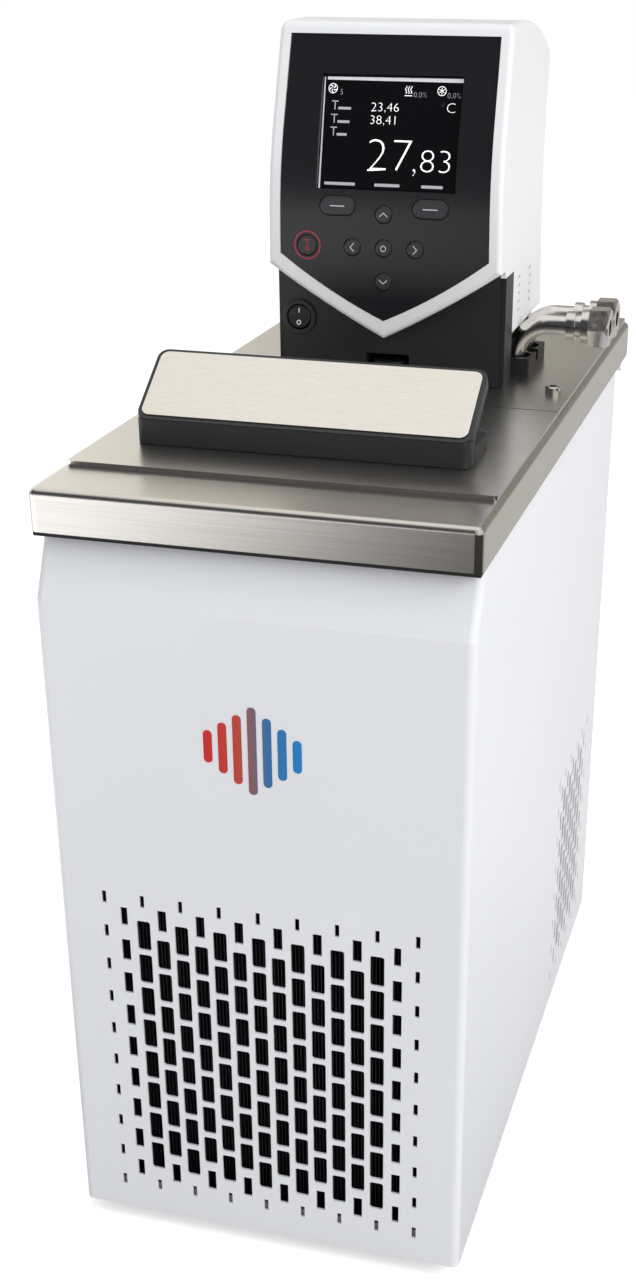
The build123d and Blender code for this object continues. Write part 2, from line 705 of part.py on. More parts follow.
def head_side_outline(inset):
    """Side view of the head: bent front, falling roof, waisted back, shrunk by inset."""
    angle = math.radians(HEAD_LEAN)
    low = BEZEL_APEX - 6.0
    bend_top = HEAD_STRAIGHT + HEAD_BEND * math.sin(angle)
    start = (HEAD_FRONT, HEAD_STRAIGHT)
    middle_z = HEAD_STRAIGHT + HEAD_BEND * math.sin(angle / 2)
    middle = (HEAD_FRONT + HEAD_BEND * (1 - math.cos(angle / 2)), middle_z)
    end = (head_front_y(bend_top), bend_top)
    brow = (head_front_y(HEAD_TOP), HEAD_TOP)
    roof = (HEAD_ROOF_FLAT, HEAD_TOP)
    corner = (HEAD_BACK_TOP, HEAD_REAR_CORNER)
    roof_middle = ((roof[0] + corner[0]) / 2 + 1.5, (roof[1] + corner[1]) / 2 + 4.2)
    waist = (HEAD_BACK_WAIST, (HEAD_REAR_CORNER + SKIRT_REAR_LOW) / 2 + 6.0)
    foot = (HEAD_BACK_FOOT, low)
    lines = [
        Line((HEAD_FRONT, low), start), ThreePointArc(start, middle, end), Line(end, brow),
        Line(brow, roof), ThreePointArc(roof, roof_middle, corner),
        ThreePointArc(corner, waist, foot), Line(foot, (HEAD_FRONT, low))]
    face = make_face(Curve() + lines)
    if inset:
        face = offset(face, amount=-inset, kind=Kind.INTERSECTION)
    face = fillet(nearest_vertex(face, brow), HEAD_CORNER - inset / 2)
    return fillet(nearest_vertex(face, corner), HEAD_REAR_RADIUS - inset)


def nearest_vertex(face, point):
    return min(face.vertices(), key=lambda v: math.dist((v.X, v.Y), point))


def v_outline(half_low, half_top, ears, apex, bow, top, corner):
    """Upright plate with a bowed V at its lower end, as (x, z) about the head's middle."""
    left = (HEAD_X - half_low, ears)
    right = (HEAD_X + half_low, ears)
    tip = (HEAD_X, apex)
    lean = math.atan2(ears - apex, half_low)
    bow_x = bow * math.sin(lean)
    bow_z = bow * math.cos(lean)
    low_left = ((left[0] + tip[0]) / 2 - bow_x, (ears + apex) / 2 - bow_z)
    low_right = ((right[0] + tip[0]) / 2 + bow_x, (ears + apex) / 2 - bow_z)
    top_left = (HEAD_X - half_top, top)
    top_right = (HEAD_X + half_top, top)
    edges = [ThreePointArc(left, low_left, tip), ThreePointArc(tip, low_right, right),
             Line(right, top_right), Line(top_right, top_left), Line(top_left, left)]
    face = make_face(Curve() + edges)
    if corner:
        face = fillet([v for v in face.vertices() if v.Y > top - 1], corner)
    return face


def head_width_form(low, inset):
    """Front view of the head's sides from a height upwards, with rounded upper corners."""
    half = HEAD_HALF - inset
    half_top = HEAD_TOP_WIDTH / 2 - inset
    top = HEAD_TOP + 1 - inset
    ears = BEZEL_EARS
    face = polygon((HEAD_X - half, low), (HEAD_X + half, low), (HEAD_X + half, ears),
                   (HEAD_X + half_top, top), (HEAD_X - half_top, top), (HEAD_X - half, ears))
    corner = HEAD_CORNER + 1 - inset
    return fillet([v for v in face.vertices() if v.Y > top - 1], corner)


def bezel_form(inset):
    """Front view of the head with the bowed V of its bezel."""
    return v_outline(HEAD_HALF - inset, HEAD_TOP_WIDTH / 2 - inset, BEZEL_EARS,
                     BEZEL_APEX + inset, BEZEL_BOW, HEAD_TOP + 1 - inset,
                     HEAD_CORNER + 1 - inset)


def head_body(inset, opened):
    """Form of the white housing shrunk by inset, its three lower ends lengthened by opened."""
    body = side_prism(head_side_outline(inset), HEAD_X - HEAD_HALF - 1, HEAD_X + HEAD_HALF + 1)
    skirt = head_width_form(SKIRT_LOW - opened, inset)
    rear_skirt = head_width_form(SKIRT_REAR_LOW - opened, inset)
    form = front_prism(bezel_form(inset), HEAD_FRONT - 5, COVER_FACE + opened)
    form += front_prism(skirt, COVER_FACE, SKIRT_STEP)
    form += front_prism(rear_skirt, SKIRT_STEP, HEAD_BACK_TOP + 5)
    return body & form


def panel_outline(grow):
    return v_outline(PANEL_HALF_LOW + grow, PANEL_HALF_TOP + grow, PANEL_EARS,
                     PANEL_APEX - grow, PANEL_BOW, PANEL_TOP + grow, 0)


def lies_on_front(point):
    return abs(point.Y - head_front_y(point.Z)) < 0.3


def front_border(body):
    """Edges that bound the head's bent front at both sides and along the V."""
    edges = []
    for edge in body.edges():
        on_front = all(lies_on_front(edge.position_at(t)) for t in (0.0, 0.5, 1.0))
        across = abs(edge.tangent_at(0.5).X) > 0.9 and edge.center().Z > BEZEL_EARS
        if on_front and not across:
            edges.append(edge)
    return edges


def make_head_shell():
    shell = head_body(0.0, 0.0)
    shell = fillet(front_border(shell), HEAD_EDGE)
    shell -= head_body(HEAD_WALL, 2.0)
    shell -= front_prism(panel_outline(FIT), HEAD_FRONT - 5, HEAD_FRONT + 40)
    slots = []
    for column in SLOT_COLUMNS:
        for row in range(SLOT_ROWS):
            place = Pos(column, SLOT_TOP - SLOT_PITCH * row)
            slots.append(place * Rectangle(*SLOT_SIZE))
    shell -= side_prism(Sketch(children=slots), HEAD_X - HEAD_HALF - 5, HEAD_X + HEAD_HALF + 5)
    wide, high, _ = INLET_BODY
    return shell - Pos(HEAD_X, HEAD_BACK_FOOT, HEAD_INLET_Z) * Box(wide + 1, 20, high + 1)


def key_layout():
    """Key name, x, z and outline of every key."""
    middle = HEAD_X
    keys = {
        "key_up": (middle, KEYPAD_HEIGHT + KEY_SPACING),
        "key_down": (middle, KEYPAD_HEIGHT - KEY_SPACING),
        "key_left": (middle - KEY_SPACING, KEYPAD_HEIGHT),
        "key_right": (middle + KEY_SPACING, KEYPAD_HEIGHT),
        "key_enter": (middle, KEYPAD_HEIGHT)}
    layout = {name: (x, z, Circle(KEY_RADIUS)) for name, (x, z) in keys.items()}
    layout["key_limit"] = (middle + LIMIT_KEY_OFFSET, KEYPAD_HEIGHT, Circle(LIMIT_KEY_RADIUS))
    for name, side in (("key_soft_left", -1), ("key_soft_right", 1)):
        layout[name] = (middle + side * SOFT_KEY_OFFSET, SOFT_KEY_HEIGHT, SlotOverall(*SOFT_KEY))
    return layout


def make_key(x, z, outline):
    """Key cap with a rounded face and a lip that holds it behind the panel."""
    cap = front_prism(Pos(x, z) * outline, KEY_FACE, KEY_REAR)
    cap = fillet(cap.faces().sort_by(Axis.Y)[0].edges(), 0.9)
    lip = front_prism(Pos(x, z) * offset(outline, amount=KEY_LIP),
                      KEY_REAR - KEY_LIP_THICKNESS, KEY_REAR)
    return cap + lip


def make_front_panel():
    """Curved black panel with the display window and the key holes."""
    outer = head_side_outline(PANEL_RECESS)
    inner = head_side_outline(PANEL_RECESS + PANEL_THICKNESS)
    skin = side_prism(outer - inner, HEAD_X - HEAD_HALF, HEAD_X + HEAD_HALF)
    panel = skin & front_prism(panel_outline(0.0), HEAD_FRONT - 5, HEAD_FRONT + 40)
    layer = head_side_outline(HEAD_WALL) - head_side_outline(PANEL_FLANGE_REAR)
    flange = side_prism(layer, HEAD_X - HEAD_HALF, HEAD_X + HEAD_HALF)
    ring = panel_outline(PANEL_FLANGE) - panel_outline(-PANEL_FLANGE)
    panel += flange & front_prism(ring, HEAD_FRONT - 5, HEAD_FRONT + 40)
    window = block(HEAD_X + WINDOW_X - WINDOW_WIDTH / 2, HEAD_X + WINDOW_X + WINDOW_WIDTH / 2,
                   HEAD_FRONT - 5, HEAD_FRONT + 40, WINDOW_LOW, WINDOW_TOP)
    panel -= window
    for x, z, outline in key_layout().values():
        panel -= front_prism(Pos(x, z) * offset(outline, amount=FIT),
                             HEAD_FRONT - 5, HEAD_FRONT + 20)
    for x, z in KEYPAD_POSTS:
        panel += rod_y(HEAD_X + x, z, head_front_y(z) + PANEL_RECESS + 1.0, keypad_y(), 2.0)
    return panel


def keypad_y():
    return KEY_REAR + KEY_TRAVEL + 0.3


def make_keypad_board():
    y = keypad_y()
    outline = polygon((-49, 455), (-28, 455), (-18, 441), (18, 441), (30, 458), (49, 458),
                      (49, 486), (-49, 486))
    return front_prism(Pos(HEAD_X, 0) * outline, y, y + BOARD)


def make_display_module():
    """Flat screen on the chord of the curved window, its glass standing into the window."""
    low = head_front_y(WINDOW_LOW) + PANEL_RECESS
    top = head_front_y(WINDOW_TOP) + PANEL_RECESS
    rise = WINDOW_TOP - WINDOW_LOW
    slope = math.degrees(math.atan2(top - low, rise))
    place = Pos(HEAD_X + WINDOW_X, (low + top) / 2, (WINDOW_LOW + WINDOW_TOP) / 2)
    place *= Rot(-slope, 0, 0)
    width = WINDOW_WIDTH / 2
    height = math.hypot(top - low, rise) / 2
    border = DISPLAY_BORDER
    body = block(-width - border, width + border, DISPLAY_SLAB_RECESS,
                 DISPLAY_SLAB_RECESS + DISPLAY_THICKNESS, -height - DISPLAY_LOWER_BORDER,
                 height + border)
    glass = block(-width, width, DISPLAY_RECESS, DISPLAY_SLAB_RECESS + 1, -height, height)
    middle = HEAD_X + WINDOW_X
    opening = block(middle - width + FIT, middle + width - FIT, HEAD_FRONT, HEAD_FRONT + 50,
                    WINDOW_LOW + FIT, WINDOW_TOP - FIT)
    return place * body + (place * glass & opening)


def make_head_base():
    """Black lower housing with a bay for the pump pipes and a recess for the knob."""
    left = HEAD_X - HEAD_HALF
    right = HEAD_X + HEAD_HALF
    bay = right - BAY_WIDTH
    front = COVER_FACE + COVER
    rear = HEAD_BACK_FOOT - 1.5
    low = PLATE_TOP
    wall = BASE_WALL
    inset = HEAD_WALL + FIT
    base = block(left, right, front, SKIRT_STEP - FIT, low, SKIRT_LOW - FIT)
    base += block(left + inset, right - inset, front, SKIRT_STEP - inset, low, COVER_TOP)
    base += block(left, bay, SKIRT_STEP - 1, rear, low, SKIRT_REAR_LOW - FIT)
    rear_inset = inset + wall
    base -= block(left + rear_inset, right - rear_inset, front + wall,
                  SKIRT_STEP - rear_inset, low + wall, COVER_TOP + 1)
    base -= block(left + wall, bay - wall, front + wall + 1, rear - wall,
                  low + wall, SKIRT_REAR_LOW - inset)
    base -= block(left + rear_inset, bay - rear_inset, front + wall + 1, rear - rear_inset,
                  low + wall, COVER_TOP + 1)
    wide, high = KNOB_RECESS
    x0, x1 = KNOB_X - wide / 2, KNOB_X + wide / 2
    back = knob_y() + KNOB_RADIUS + 1.0
    base += block(x0 - wall, x1 + wall, front, back + wall, low, low + high + wall)
    base -= block(x0, x1, front - 1, back, low - 1, low + high)
    base -= rod_z(PUMP_X, PUMP_Y, low - 1, low + wall + 1, PUMP_MOTOR_RADIUS + FIT)
    return base - rod_y(SWITCH_X, SWITCH_Z, front - 1, front + 12, SWITCH_BARREL + FIT)


def make_head_cover():
    half = HEAD_HALF - COVER_SEAM
    y0 = COVER_FACE + FIT
    y1 = COVER_FACE + COVER
    cover = block(HEAD_X - half, HEAD_X + half, y0, y1, PLATE_TOP + FIT, COVER_TOP)
    wide, high = KNOB_RECESS
    cover -= block(KNOB_X - wide / 2, KNOB_X + wide / 2, y0 - 1, y1 + 1,
                   PLATE_TOP - 1, PLATE_TOP + high)
    return cover - rod_y(SWITCH_X, SWITCH_Z, y0 - 1, y1 + 1, SWITCH_BARREL + FIT)


def make_switch_bezel():
    face = COVER_FACE + FIT
    y0 = face - SWITCH_PROUD
    y1 = face + 12.0
    ring = rod_y(SWITCH_X, SWITCH_Z, y0, face, SWITCH_RADIUS)
    ring = fillet(ring.faces().sort_by(Axis.Y)[0].edges(), 0.8)
    ring += rod_y(SWITCH_X, SWITCH_Z, face, y1, SWITCH_BARREL)
    return ring - rod_y(SWITCH_X, SWITCH_Z, y0 - 1, y1 - 2.0, ROCKER_RADIUS + 0.5)


def rocker_axis_y():
    return COVER_FACE + 1.5


def make_switch_rocker():
    """Round rocker with a dished face, modelled with its lower half pressed."""
    y = rocker_axis_y()
    disc = rod_y(0, 0, -3.2, 3.0, ROCKER_RADIUS)
    disc &= Sphere(ROCKER_RADIUS + 0.2)
    disc -= Pos(0, -15.2, 0) * Rot(0, 90, 0) * Cylinder(13.0, 30)
    pin = rod_x(0, 0, -ROCKER_RADIUS - 0.3, ROCKER_RADIUS + 0.3, 1.0)
    return Pos(SWITCH_X, y, SWITCH_Z) * Rot(-ROCKER_TILT, 0, 0) * (disc + pin)


def knob_y():
    return COVER_FACE + KNOB_SETBACK


def make_flow_knob():
    """Fluted knob with an upright axis and a stem down into the pump."""
    low = PLATE_TOP + 1.5
    knob = rod_z(KNOB_X, knob_y(), low, low + KNOB_HEIGHT, KNOB_RADIUS)
    for n in range(KNOB_FLUTES):
        turn = 2 * math.pi * n / KNOB_FLUTES
        reach = KNOB_RADIUS + 0.5
        x = KNOB_X + reach * math.cos(turn)
        y = knob_y() + reach * math.sin(turn)
        knob -= block(x - 0.6, x + 0.6, y - 0.6, y + 0.6, low - 1, low + KNOB_HEIGHT + 1)
    return knob + rod_z(KNOB_X, knob_y(), RIM_TOP - 14.0, low, KNOB_STEM)


def make_power_inlet(x, face, z):
    """Appliance inlet: a flange, a body and a recess with three blades."""
    wide, high, deep = INLET_FLANGE
    body_wide, body_high, body_deep = INLET_BODY
    inlet = Pos(x, face + deep / 2, z) * Box(wide - 19, deep, high)
    inlet += Pos(x, face - body_deep / 2, z) * Box(body_wide, body_deep, body_high)
    inlet -= Pos(x, face + deep - 7, z) * Box(body_wide - 4, 15, body_high - 4)
    for dx, dz in ((-7, -2), (7, -2), (0, 3)):
        inlet += Pos(x + dx, face - 7, z + dz) * Box(2, 14, 4)
    return inlet


def make_mains_inlet():
    return make_power_inlet(HEAD_X, HEAD_BACK_FOOT - 1.6, HEAD_INLET_Z)


def make_cooling_inlet():
    return make_power_inlet(CABINET_INLET_X, CABINET_DEPTH + SHEET, CABINET_INLET_Z)


def make_control_board():
    """Vertical circuit board in the head, on two spacers from the roof bay."""
    y = HEAD_BACK_WAIST - 18.0
    board = block(HEAD_X - 45, HEAD_X + 45, y, y + BOARD, 456.0, 540.0)
    for x in (-38, 38):
        for z in (462, 532):
            board += rod_y(HEAD_X + x, z, y + BOARD, HEAD_BACK_TOP + 4, 2.5)
    return board & head_body(HEAD_WALL, 0.0)


# Bridge plate, pump and immersed parts

def make_bridge_plate():
    plate = plate_form(BRIDGE_FRONT, BRIDGE_BACK)
    low = RIM_TOP - 1
    high = PLATE_TOP + 1
    plate -= rod_z(PUMP_X, PUMP_Y, low, high, PUMP_COLUMN - 2.0)
    plate -= rod_z(KNOB_X, knob_y(), low, high, KNOB_STEM + SHAFT_FIT)
    for y in (PIPE_FRONT_Y, PIPE_REAR_Y):
        plate -= rod_z(PIPE_X, y, low, high, PIPE_BORE)
    for x, y in screw_places():
        plate -= rod_z(x, y, low, high, SCREW_SHANK + FIT / 2)
    return plate


def screw_places():
    half = RIM_HALF - SCREW_INSET
    return [(-half, SCREW_FRONT), (half, SCREW_FRONT), (-half, SCREW_REAR), (half, SCREW_REAR)]


def cap_screw(x, y, seat, depth):
    head = rod_z(x, y, seat, seat + SCREW_HEAD_HEIGHT, SCREW_HEAD)
    head = chamfer(head.faces().sort_by(Axis.Z)[-1].edges(), 0.5)
    head -= extrude(Pos(x, y, seat + 1.4) * RegularPolygon(2.3, 6), SCREW_HEAD_HEIGHT)
    return head + rod_z(x, y, seat - depth, seat, SCREW_SHANK)


def make_cap_screws():
    screws = [cap_screw(x, y, PLATE_TOP, PLATE_HEIGHT) for x, y in screw_places()]
    middle = (PIPE_FRONT_Y + PIPE_REAR_Y) / 2
    screws.append(cap_screw(PIPE_X + 4.6, middle, PLATE_TOP + BLOCK_HEIGHT - 5.0, 3.0))
    return Part() + screws


def make_pump_motor():
    low = PLATE_TOP
    motor = rod_z(PUMP_X, PUMP_Y, low, low + PUMP_MOTOR_HEIGHT, PUMP_MOTOR_RADIUS)
    motor = chamfer(motor.faces().sort_by(Axis.Z)[-1].edges(), 3.0)
    return motor - rod_z(PUMP_X, PUMP_Y, low - 1, low + PUMP_MOTOR_HEIGHT - 8,
                         PUMP_SHAFT + SHAFT_FIT)


def make_pump_housing():
    """Column from the bridge plate down to the volute, with an outlet stub."""
    x, y = PUMP_X, PUMP_Y
    low = PUMP_HOUSING_LOW
    high = low + PUMP_HOUSING_HEIGHT
    body = rod_z(x, y, high, PLATE_TOP - STEEL, PUMP_COLUMN)
    body += rod_z(x, y, low, high, PUMP_HOUSING_RADIUS)
    valve_low = PLATE_TOP - STEEL - 28.0
    body += rod_z(KNOB_X, knob_y(), valve_low, PLATE_TOP - STEEL, 7.0)
    body += block(KNOB_X - 4, KNOB_X + 4, knob_y(), y - PUMP_COLUMN + 1, valve_low, valve_low + 9)
    body -= rod_z(x, y, high - 3, PLATE_TOP, PUMP_COLUMN - 1.5)
    body -= rod_z(x, y, low + 2, high - 2, PUMP_HOUSING_RADIUS - 2)
    body -= rod_z(x, y, low - 1, low + 3, 8.0)
    return body - rod_z(KNOB_X, knob_y(), RIM_TOP - 15.0, PLATE_TOP, KNOB_STEM + SHAFT_FIT)


def make_pump_rotor():
    """Shaft and impeller in one."""
    x, y = PUMP_X, PUMP_Y
    low = PUMP_HOUSING_LOW + 4
    rotor = rod_z(x, y, low, PLATE_TOP + PUMP_MOTOR_HEIGHT - 10, PUMP_SHAFT)
    rotor += rod_z(x, y, low, low + 2.5, IMPELLER_RADIUS)
    for n in range(6):
        vane = block(1.0, IMPELLER_RADIUS - 1.0, -0.8, 0.8, 0.0, 8.0)
        rotor += Pos(x, y, low + 2) * Rot(0, 0, 60 * n) * vane
    return rotor


def make_riser_tubes():
    top = PLATE_TOP - STEEL
    y0, y1 = PIPE_FRONT_Y, PIPE_REAR_Y
    level = PUMP_HOUSING_LOW + PUMP_HOUSING_HEIGHT / 2
    start = PUMP_X + PUMP_HOUSING_RADIUS
    pressure = tube([(start, y0, level), (PIPE_X, y0, level), (PIPE_X, y0, top)],
                    10.0, PIPE_RADIUS)
    back = rod_z(PIPE_X, y1, level + 60, top, PIPE_RADIUS)
    return Part() + [pressure, back]


def make_heater_coil():
    top = PLATE_TOP - STEEL
    points = []
    for n, x in enumerate(HEATER_LEGS):
        ends = [(x, HEATER_Y, top if n in (0, 3) else HEATER_LOW + 80), (x, HEATER_Y, HEATER_LOW)]
        points += ends if n % 2 == 0 else ends[::-1]
    return tube(points, 11.0, HEATER_TUBE)


def make_temperature_probe():
    probe = rod_z(PROBE_X, PROBE_Y, PROBE_LOW, PLATE_TOP - STEEL, PROBE_RADIUS)
    return fillet(probe.faces().sort_by(Axis.Z)[0].edges(), PROBE_RADIUS - 0.3)


def make_float_stem():
    stem = rod_z(FLOAT_X, FLOAT_Y, FLOAT_LOW - 4, PLATE_TOP - STEEL, FLOAT_STEM)
    stem += rod_z(FLOAT_X, FLOAT_Y, FLOAT_LOW - 4, FLOAT_LOW - 2, FLOAT_STEM + 3)
    return stem + rod_z(FLOAT_X, FLOAT_Y, FLOAT_LOW - 2, FLOAT_LOW, FLOAT_STEM + 1.5)


def make_level_float():
    ball = rod_z(FLOAT_X, FLOAT_Y, FLOAT_LOW, FLOAT_LOW + FLOAT_HEIGHT, FLOAT_RADIUS)
    ball = fillet(ball.edges().filter_by(GeomType.CIRCLE), 3.0)
    return ball - rod_z(FLOAT_X, FLOAT_Y, FLOAT_LOW - 1, FLOAT_LOW + FLOAT_HEIGHT + 1,
                        FLOAT_STEM + SHAFT_FIT)


# Pump connections

def make_connection_block():
    """Black block that clamps both pipes to the bridge plate."""
    top = PLATE_TOP + BLOCK_HEIGHT
    clamp = block(BLOCK_LEFT, BLOCK_RIGHT, BLOCK_FRONT, BLOCK_BACK, PLATE_TOP, top)
    clamp = fillet([e for e in upright_edges(clamp) if e.center().X > BLOCK_RIGHT - 1], 1.0)
    for y in (PIPE_FRONT_Y, PIPE_REAR_Y):
        clamp -= rod_z(PIPE_X, y, PLATE_TOP + 1.5, top + 1, PIPE_RADIUS + 2.6)
        clamp -= rod_z(PIPE_X, y, PLATE_TOP - 1, top + 1, PIPE_BORE)
    middle = (PIPE_FRONT_Y + PIPE_REAR_Y) / 2
    seat = PLATE_TOP + BLOCK_HEIGHT - 5.0
    clamp -= rod_z(PIPE_X + 4.6, middle, seat, top + 1, SCREW_HEAD + 1.2)
    return clamp - rod_z(PIPE_X + 4.6, middle, PLATE_TOP - 1, top, SCREW_SHANK + FIT / 2)


def make_pump_pipe(y):
    """Bent pipe with a grooved collar and the connection thread brazed to its end."""
    low = PLATE_TOP + 1.5
    route = [(PIPE_X, y, low), (PIPE_X, y, PIPE_AXIS_Z), (PIPE_END, y, PIPE_AXIS_Z)]
    pipe = tube(route, PIPE_BEND, PIPE_RADIUS)
    x = PIPE_END - 1.6
    collar = [(x, 7.3), (x + 4.6, 7.3), (x + 4.6, 6.0), (x + 8.0, 6.0), (x + 8.0, 8.6),
              (NUT_X - FIT, 8.6), (NUT_X - FIT, 6.9), (FITTING_END - 1.0, 6.9)]
    pipe += turned_x(y, PIPE_AXIS_Z, collar, 0.0)
    pipe -= rod_x(y, PIPE_AXIS_Z, PIPE_END - 1, FITTING_END, PIPE_BORE)
    return pipe - tube(route, PIPE_BEND, PIPE_BORE)


def make_pump_pipe_front():
    return make_pump_pipe(PIPE_FRONT_Y)


def make_pump_pipe_rear():
    return make_pump_pipe(PIPE_REAR_Y)


def turned_x(y, z, outline, bore):
    """Ring turned about an axis along X from (x, radius) points."""
    points = [(outline[0][0], bore)] + outline + [(outline[-1][0], bore)]
    face = make_face(Polyline(*points, close=True))
    return Pos(0, y, z) * revolve(face, Axis.X)


def make_union_nut(y):
    radius = NUT_ACROSS / math.sqrt(3)
    end = NUT_X + NUT_LENGTH
    hexagon = Plane.YZ.offset(NUT_X) * (Pos(y, PIPE_AXIS_Z) * RegularPolygon(radius, 6))
    cone = [(NUT_X, radius + 0.1), (end - 1.8, radius + 0.1), (end, NUT_ACROSS / 2 - 0.4)]
    return extrude(hexagon, NUT_LENGTH) & turned_x(y, PIPE_AXIS_Z, cone, 6.9 + SHAFT_FIT)


def make_union_nut_front():
    return make_union_nut(PIPE_FRONT_Y)


def make_union_nut_rear():
    return make_union_nut(PIPE_REAR_Y)


# Cooling machine

def make_condenser_frame():
    half = CONDENSER_HALF
    y0 = CONDENSER_FRONT
    y1 = SHROUD_Y
    frame = block(-half, half, y0, y1, CONDENSER_LOW, CONDENSER_TOP)
    frame -= block(-half + SHEET, half - SHEET, y0 - 1, y1 + 1,
                   CONDENSER_LOW + SHEET, CONDENSER_TOP - SHEET)
    foot_z = FOOT_HEIGHT + SHEET
    frame += block(-half, -half + SHEET, y0, y1, foot_z, CONDENSER_LOW + SHEET)
    frame += block(half - SHEET, half, y0, y1, foot_z, CONDENSER_LOW + SHEET)
    levels = condenser_levels()
    _, y = condenser_tube_place()
    for z in (levels[0], levels[-1]):
        frame -= rod_x(y, z, -half - 1, -half + SHEET + 1, LINE_RADIUS + FIT)
    return frame


def make_condenser_fins():
    """Vertical fins standing on a thin web, as one comb-shaped plan drawn upwards."""
    z0 = CONDENSER_LOW + SHEET
    z1 = CONDENSER_TOP - SHEET
    y0 = CONDENSER_FRONT + 1.0
    y1 = y0 + FIN_DEPTH
    reach = CONDENSER_HALF - SHEET - FIN
    count = int(2 * reach / FIN_PITCH)
    comb = []
    for n in range(count + 1):
        x = (n - count / 2) * FIN_PITCH
        comb += [(x - FIN / 2, y1 - FIN_WEB), (x - FIN / 2, y0),
                 (x + FIN / 2, y0), (x + FIN / 2, y1 - FIN_WEB)]
    side = CONDENSER_HALF - SHEET
    outline = polygon((-side, y1), (-side, y1 - FIN_WEB), *comb, (side, y1 - FIN_WEB), (side, y1))
    return Pos(0, 0, z0) * extrude(outline, z1 - z0)


def condenser_levels():
    middle = (CONDENSER_LOW + CONDENSER_TOP) / 2
    return [middle + (n - 1.5) * CONDENSER_PASS for n in range(4)]


def condenser_tube_place():
    """Half length of the passes and depth of the tube axis."""
    half = CONDENSER_HALF - SHEET - CONDENSER_TUBE - 2.0
    return half, CONDENSER_FRONT + 1.0 + FIN_DEPTH + CONDENSER_TUBE


def make_condenser_tube():
    """Serpentine along the back of the fins, both ends at the left."""
    half, y = condenser_tube_place()
    levels = condenser_levels()
    points = [(-half, y, levels[0])]
    for n, z in enumerate(levels):
        side = 1 if n % 2 == 0 else -1
        points.append((side * half, y, z))
        if n < len(levels) - 1:
            points.append((side * half, y, levels[n + 1]))
    return tube(points, CONDENSER_BEND, CONDENSER_TUBE)


def make_fan_shroud():
    """Plate with a ring round the fan and four posts that carry the motor plate."""
    half = CONDENSER_HALF
    y = SHROUD_Y
    shroud = block(-half, half, y, y + SHEET, CONDENSER_LOW, CONDENSER_TOP)
    shroud += rod_y(0, FAN_Z, y, y + FAN_RING, FAN_OPENING + SHEET)
    shroud -= rod_y(0, FAN_Z, y - 1, y + FAN_RING + 1, FAN_OPENING)
    end = FAN_MOTOR_Y + FAN_MOTOR_LENGTH
    spread = FAN_OPENING * 0.86
    bar = 5.0
    for x in (-1, 1):
        for z in (-1, 1):
            cx = x * spread
            cz = FAN_Z + z * spread
            shroud += block(cx - bar, cx + bar, y, end + SHEET, cz - 1.5, cz + 1.5)
        shroud += block(x * spread - bar, x * spread + bar, end, end + SHEET,
                        FAN_Z - spread, FAN_Z + spread)
    return shroud + block(-spread, spread, end, end + SHEET, FAN_Z - 12, FAN_Z + 12)


def make_fan_motor():
    y0 = FAN_MOTOR_Y
    y1 = y0 + FAN_MOTOR_LENGTH
    motor = rod_y(0, FAN_Z, y0, y1, FAN_MOTOR_RADIUS)
    motor = chamfer(motor.edges().filter_by(GeomType.CIRCLE), 2.0)
    return motor - rod_y(0, FAN_Z, y0 - 1, y1 - 6, FAN_SHAFT + SHAFT_FIT)


def make_fan_rotor():
    """Hub, pitched blades and the shaft that runs in the motor."""
    y0 = FAN_HUB_Y
    y1 = y0 + FAN_HUB_LENGTH
    rotor = rod_y(0, FAN_Z, y0, y1, FAN_HUB)
    rotor = fillet(rotor.faces().sort_by(Axis.Y)[0].edges(), 3.0)
    length = FAN_RADIUS - FAN_HUB + 4
    middle = FAN_HUB - 4 + length / 2
    sweep_box = rod_y(0, FAN_Z, y0, y1, FAN_RADIUS)
    for n in range(FAN_BLADES):
        blade = Pos(middle, 0, 0) * Rot(FAN_BLADE_PITCH, 0, 0) * Box(length, 1.6, FAN_BLADE_WIDTH)
        placed = Pos(0, (y0 + y1) / 2, FAN_Z) * Rot(0, 360 / FAN_BLADES * n, 0) * blade
        rotor += placed & sweep_box
    return rotor + rod_y(0, FAN_Z, y1, FAN_MOTOR_Y + FAN_MOTOR_LENGTH - 8, FAN_SHAFT)


def compressor_low():
    return FOOT_HEIGHT + SHEET + GROMMET_HEIGHT


def make_compressor():
    """Welded steel can on its mounting plate."""
    low = compressor_low()
    wide, deep, thick = COMPRESSOR_PLATE
    can_low = low + thick
    r = COMPRESSOR_RADIUS
    top = can_low + COMPRESSOR_HEIGHT
    can = rod_z(0, COMPRESSOR_Y, can_low, top, r)
    can = fillet(can.faces().sort_by(Axis.Z)[-1].edges(), COMPRESSOR_CROWN)
    can = fillet(can.faces().sort_by(Axis.Z)[0].edges(), 10.0)
    plate = Pos(0, COMPRESSOR_Y, low + thick / 2) * Box(wide, deep, thick)
    box = block(r - 4, r + 22, COMPRESSOR_Y - 24, COMPRESSOR_Y + 24, can_low + 60, can_low + 110)
    ports = rod_y(-PORT_X, PORT_Z, COMPRESSOR_Y - port_reach(), COMPRESSOR_Y, LINE_RADIUS + 1)
    ports += rod_y(PORT_X, PORT_Z, COMPRESSOR_Y, COMPRESSOR_Y + port_reach(), LINE_RADIUS + 1)
    return can + plate + box + ports


def make_compressor_grommets():
    across, along = GROMMET_SPACING
    low = FOOT_HEIGHT + SHEET
    return Part() + [
        rod_z(x * across / 2, COMPRESSOR_Y + y * along / 2, low, low + GROMMET_HEIGHT,
              GROMMET_RADIUS) for x in (-1, 1) for y in (-1, 1)]


def port_reach():
    """Distance of the line stubs' ends from the compressor's middle."""
    return COMPRESSOR_RADIUS + 2.0


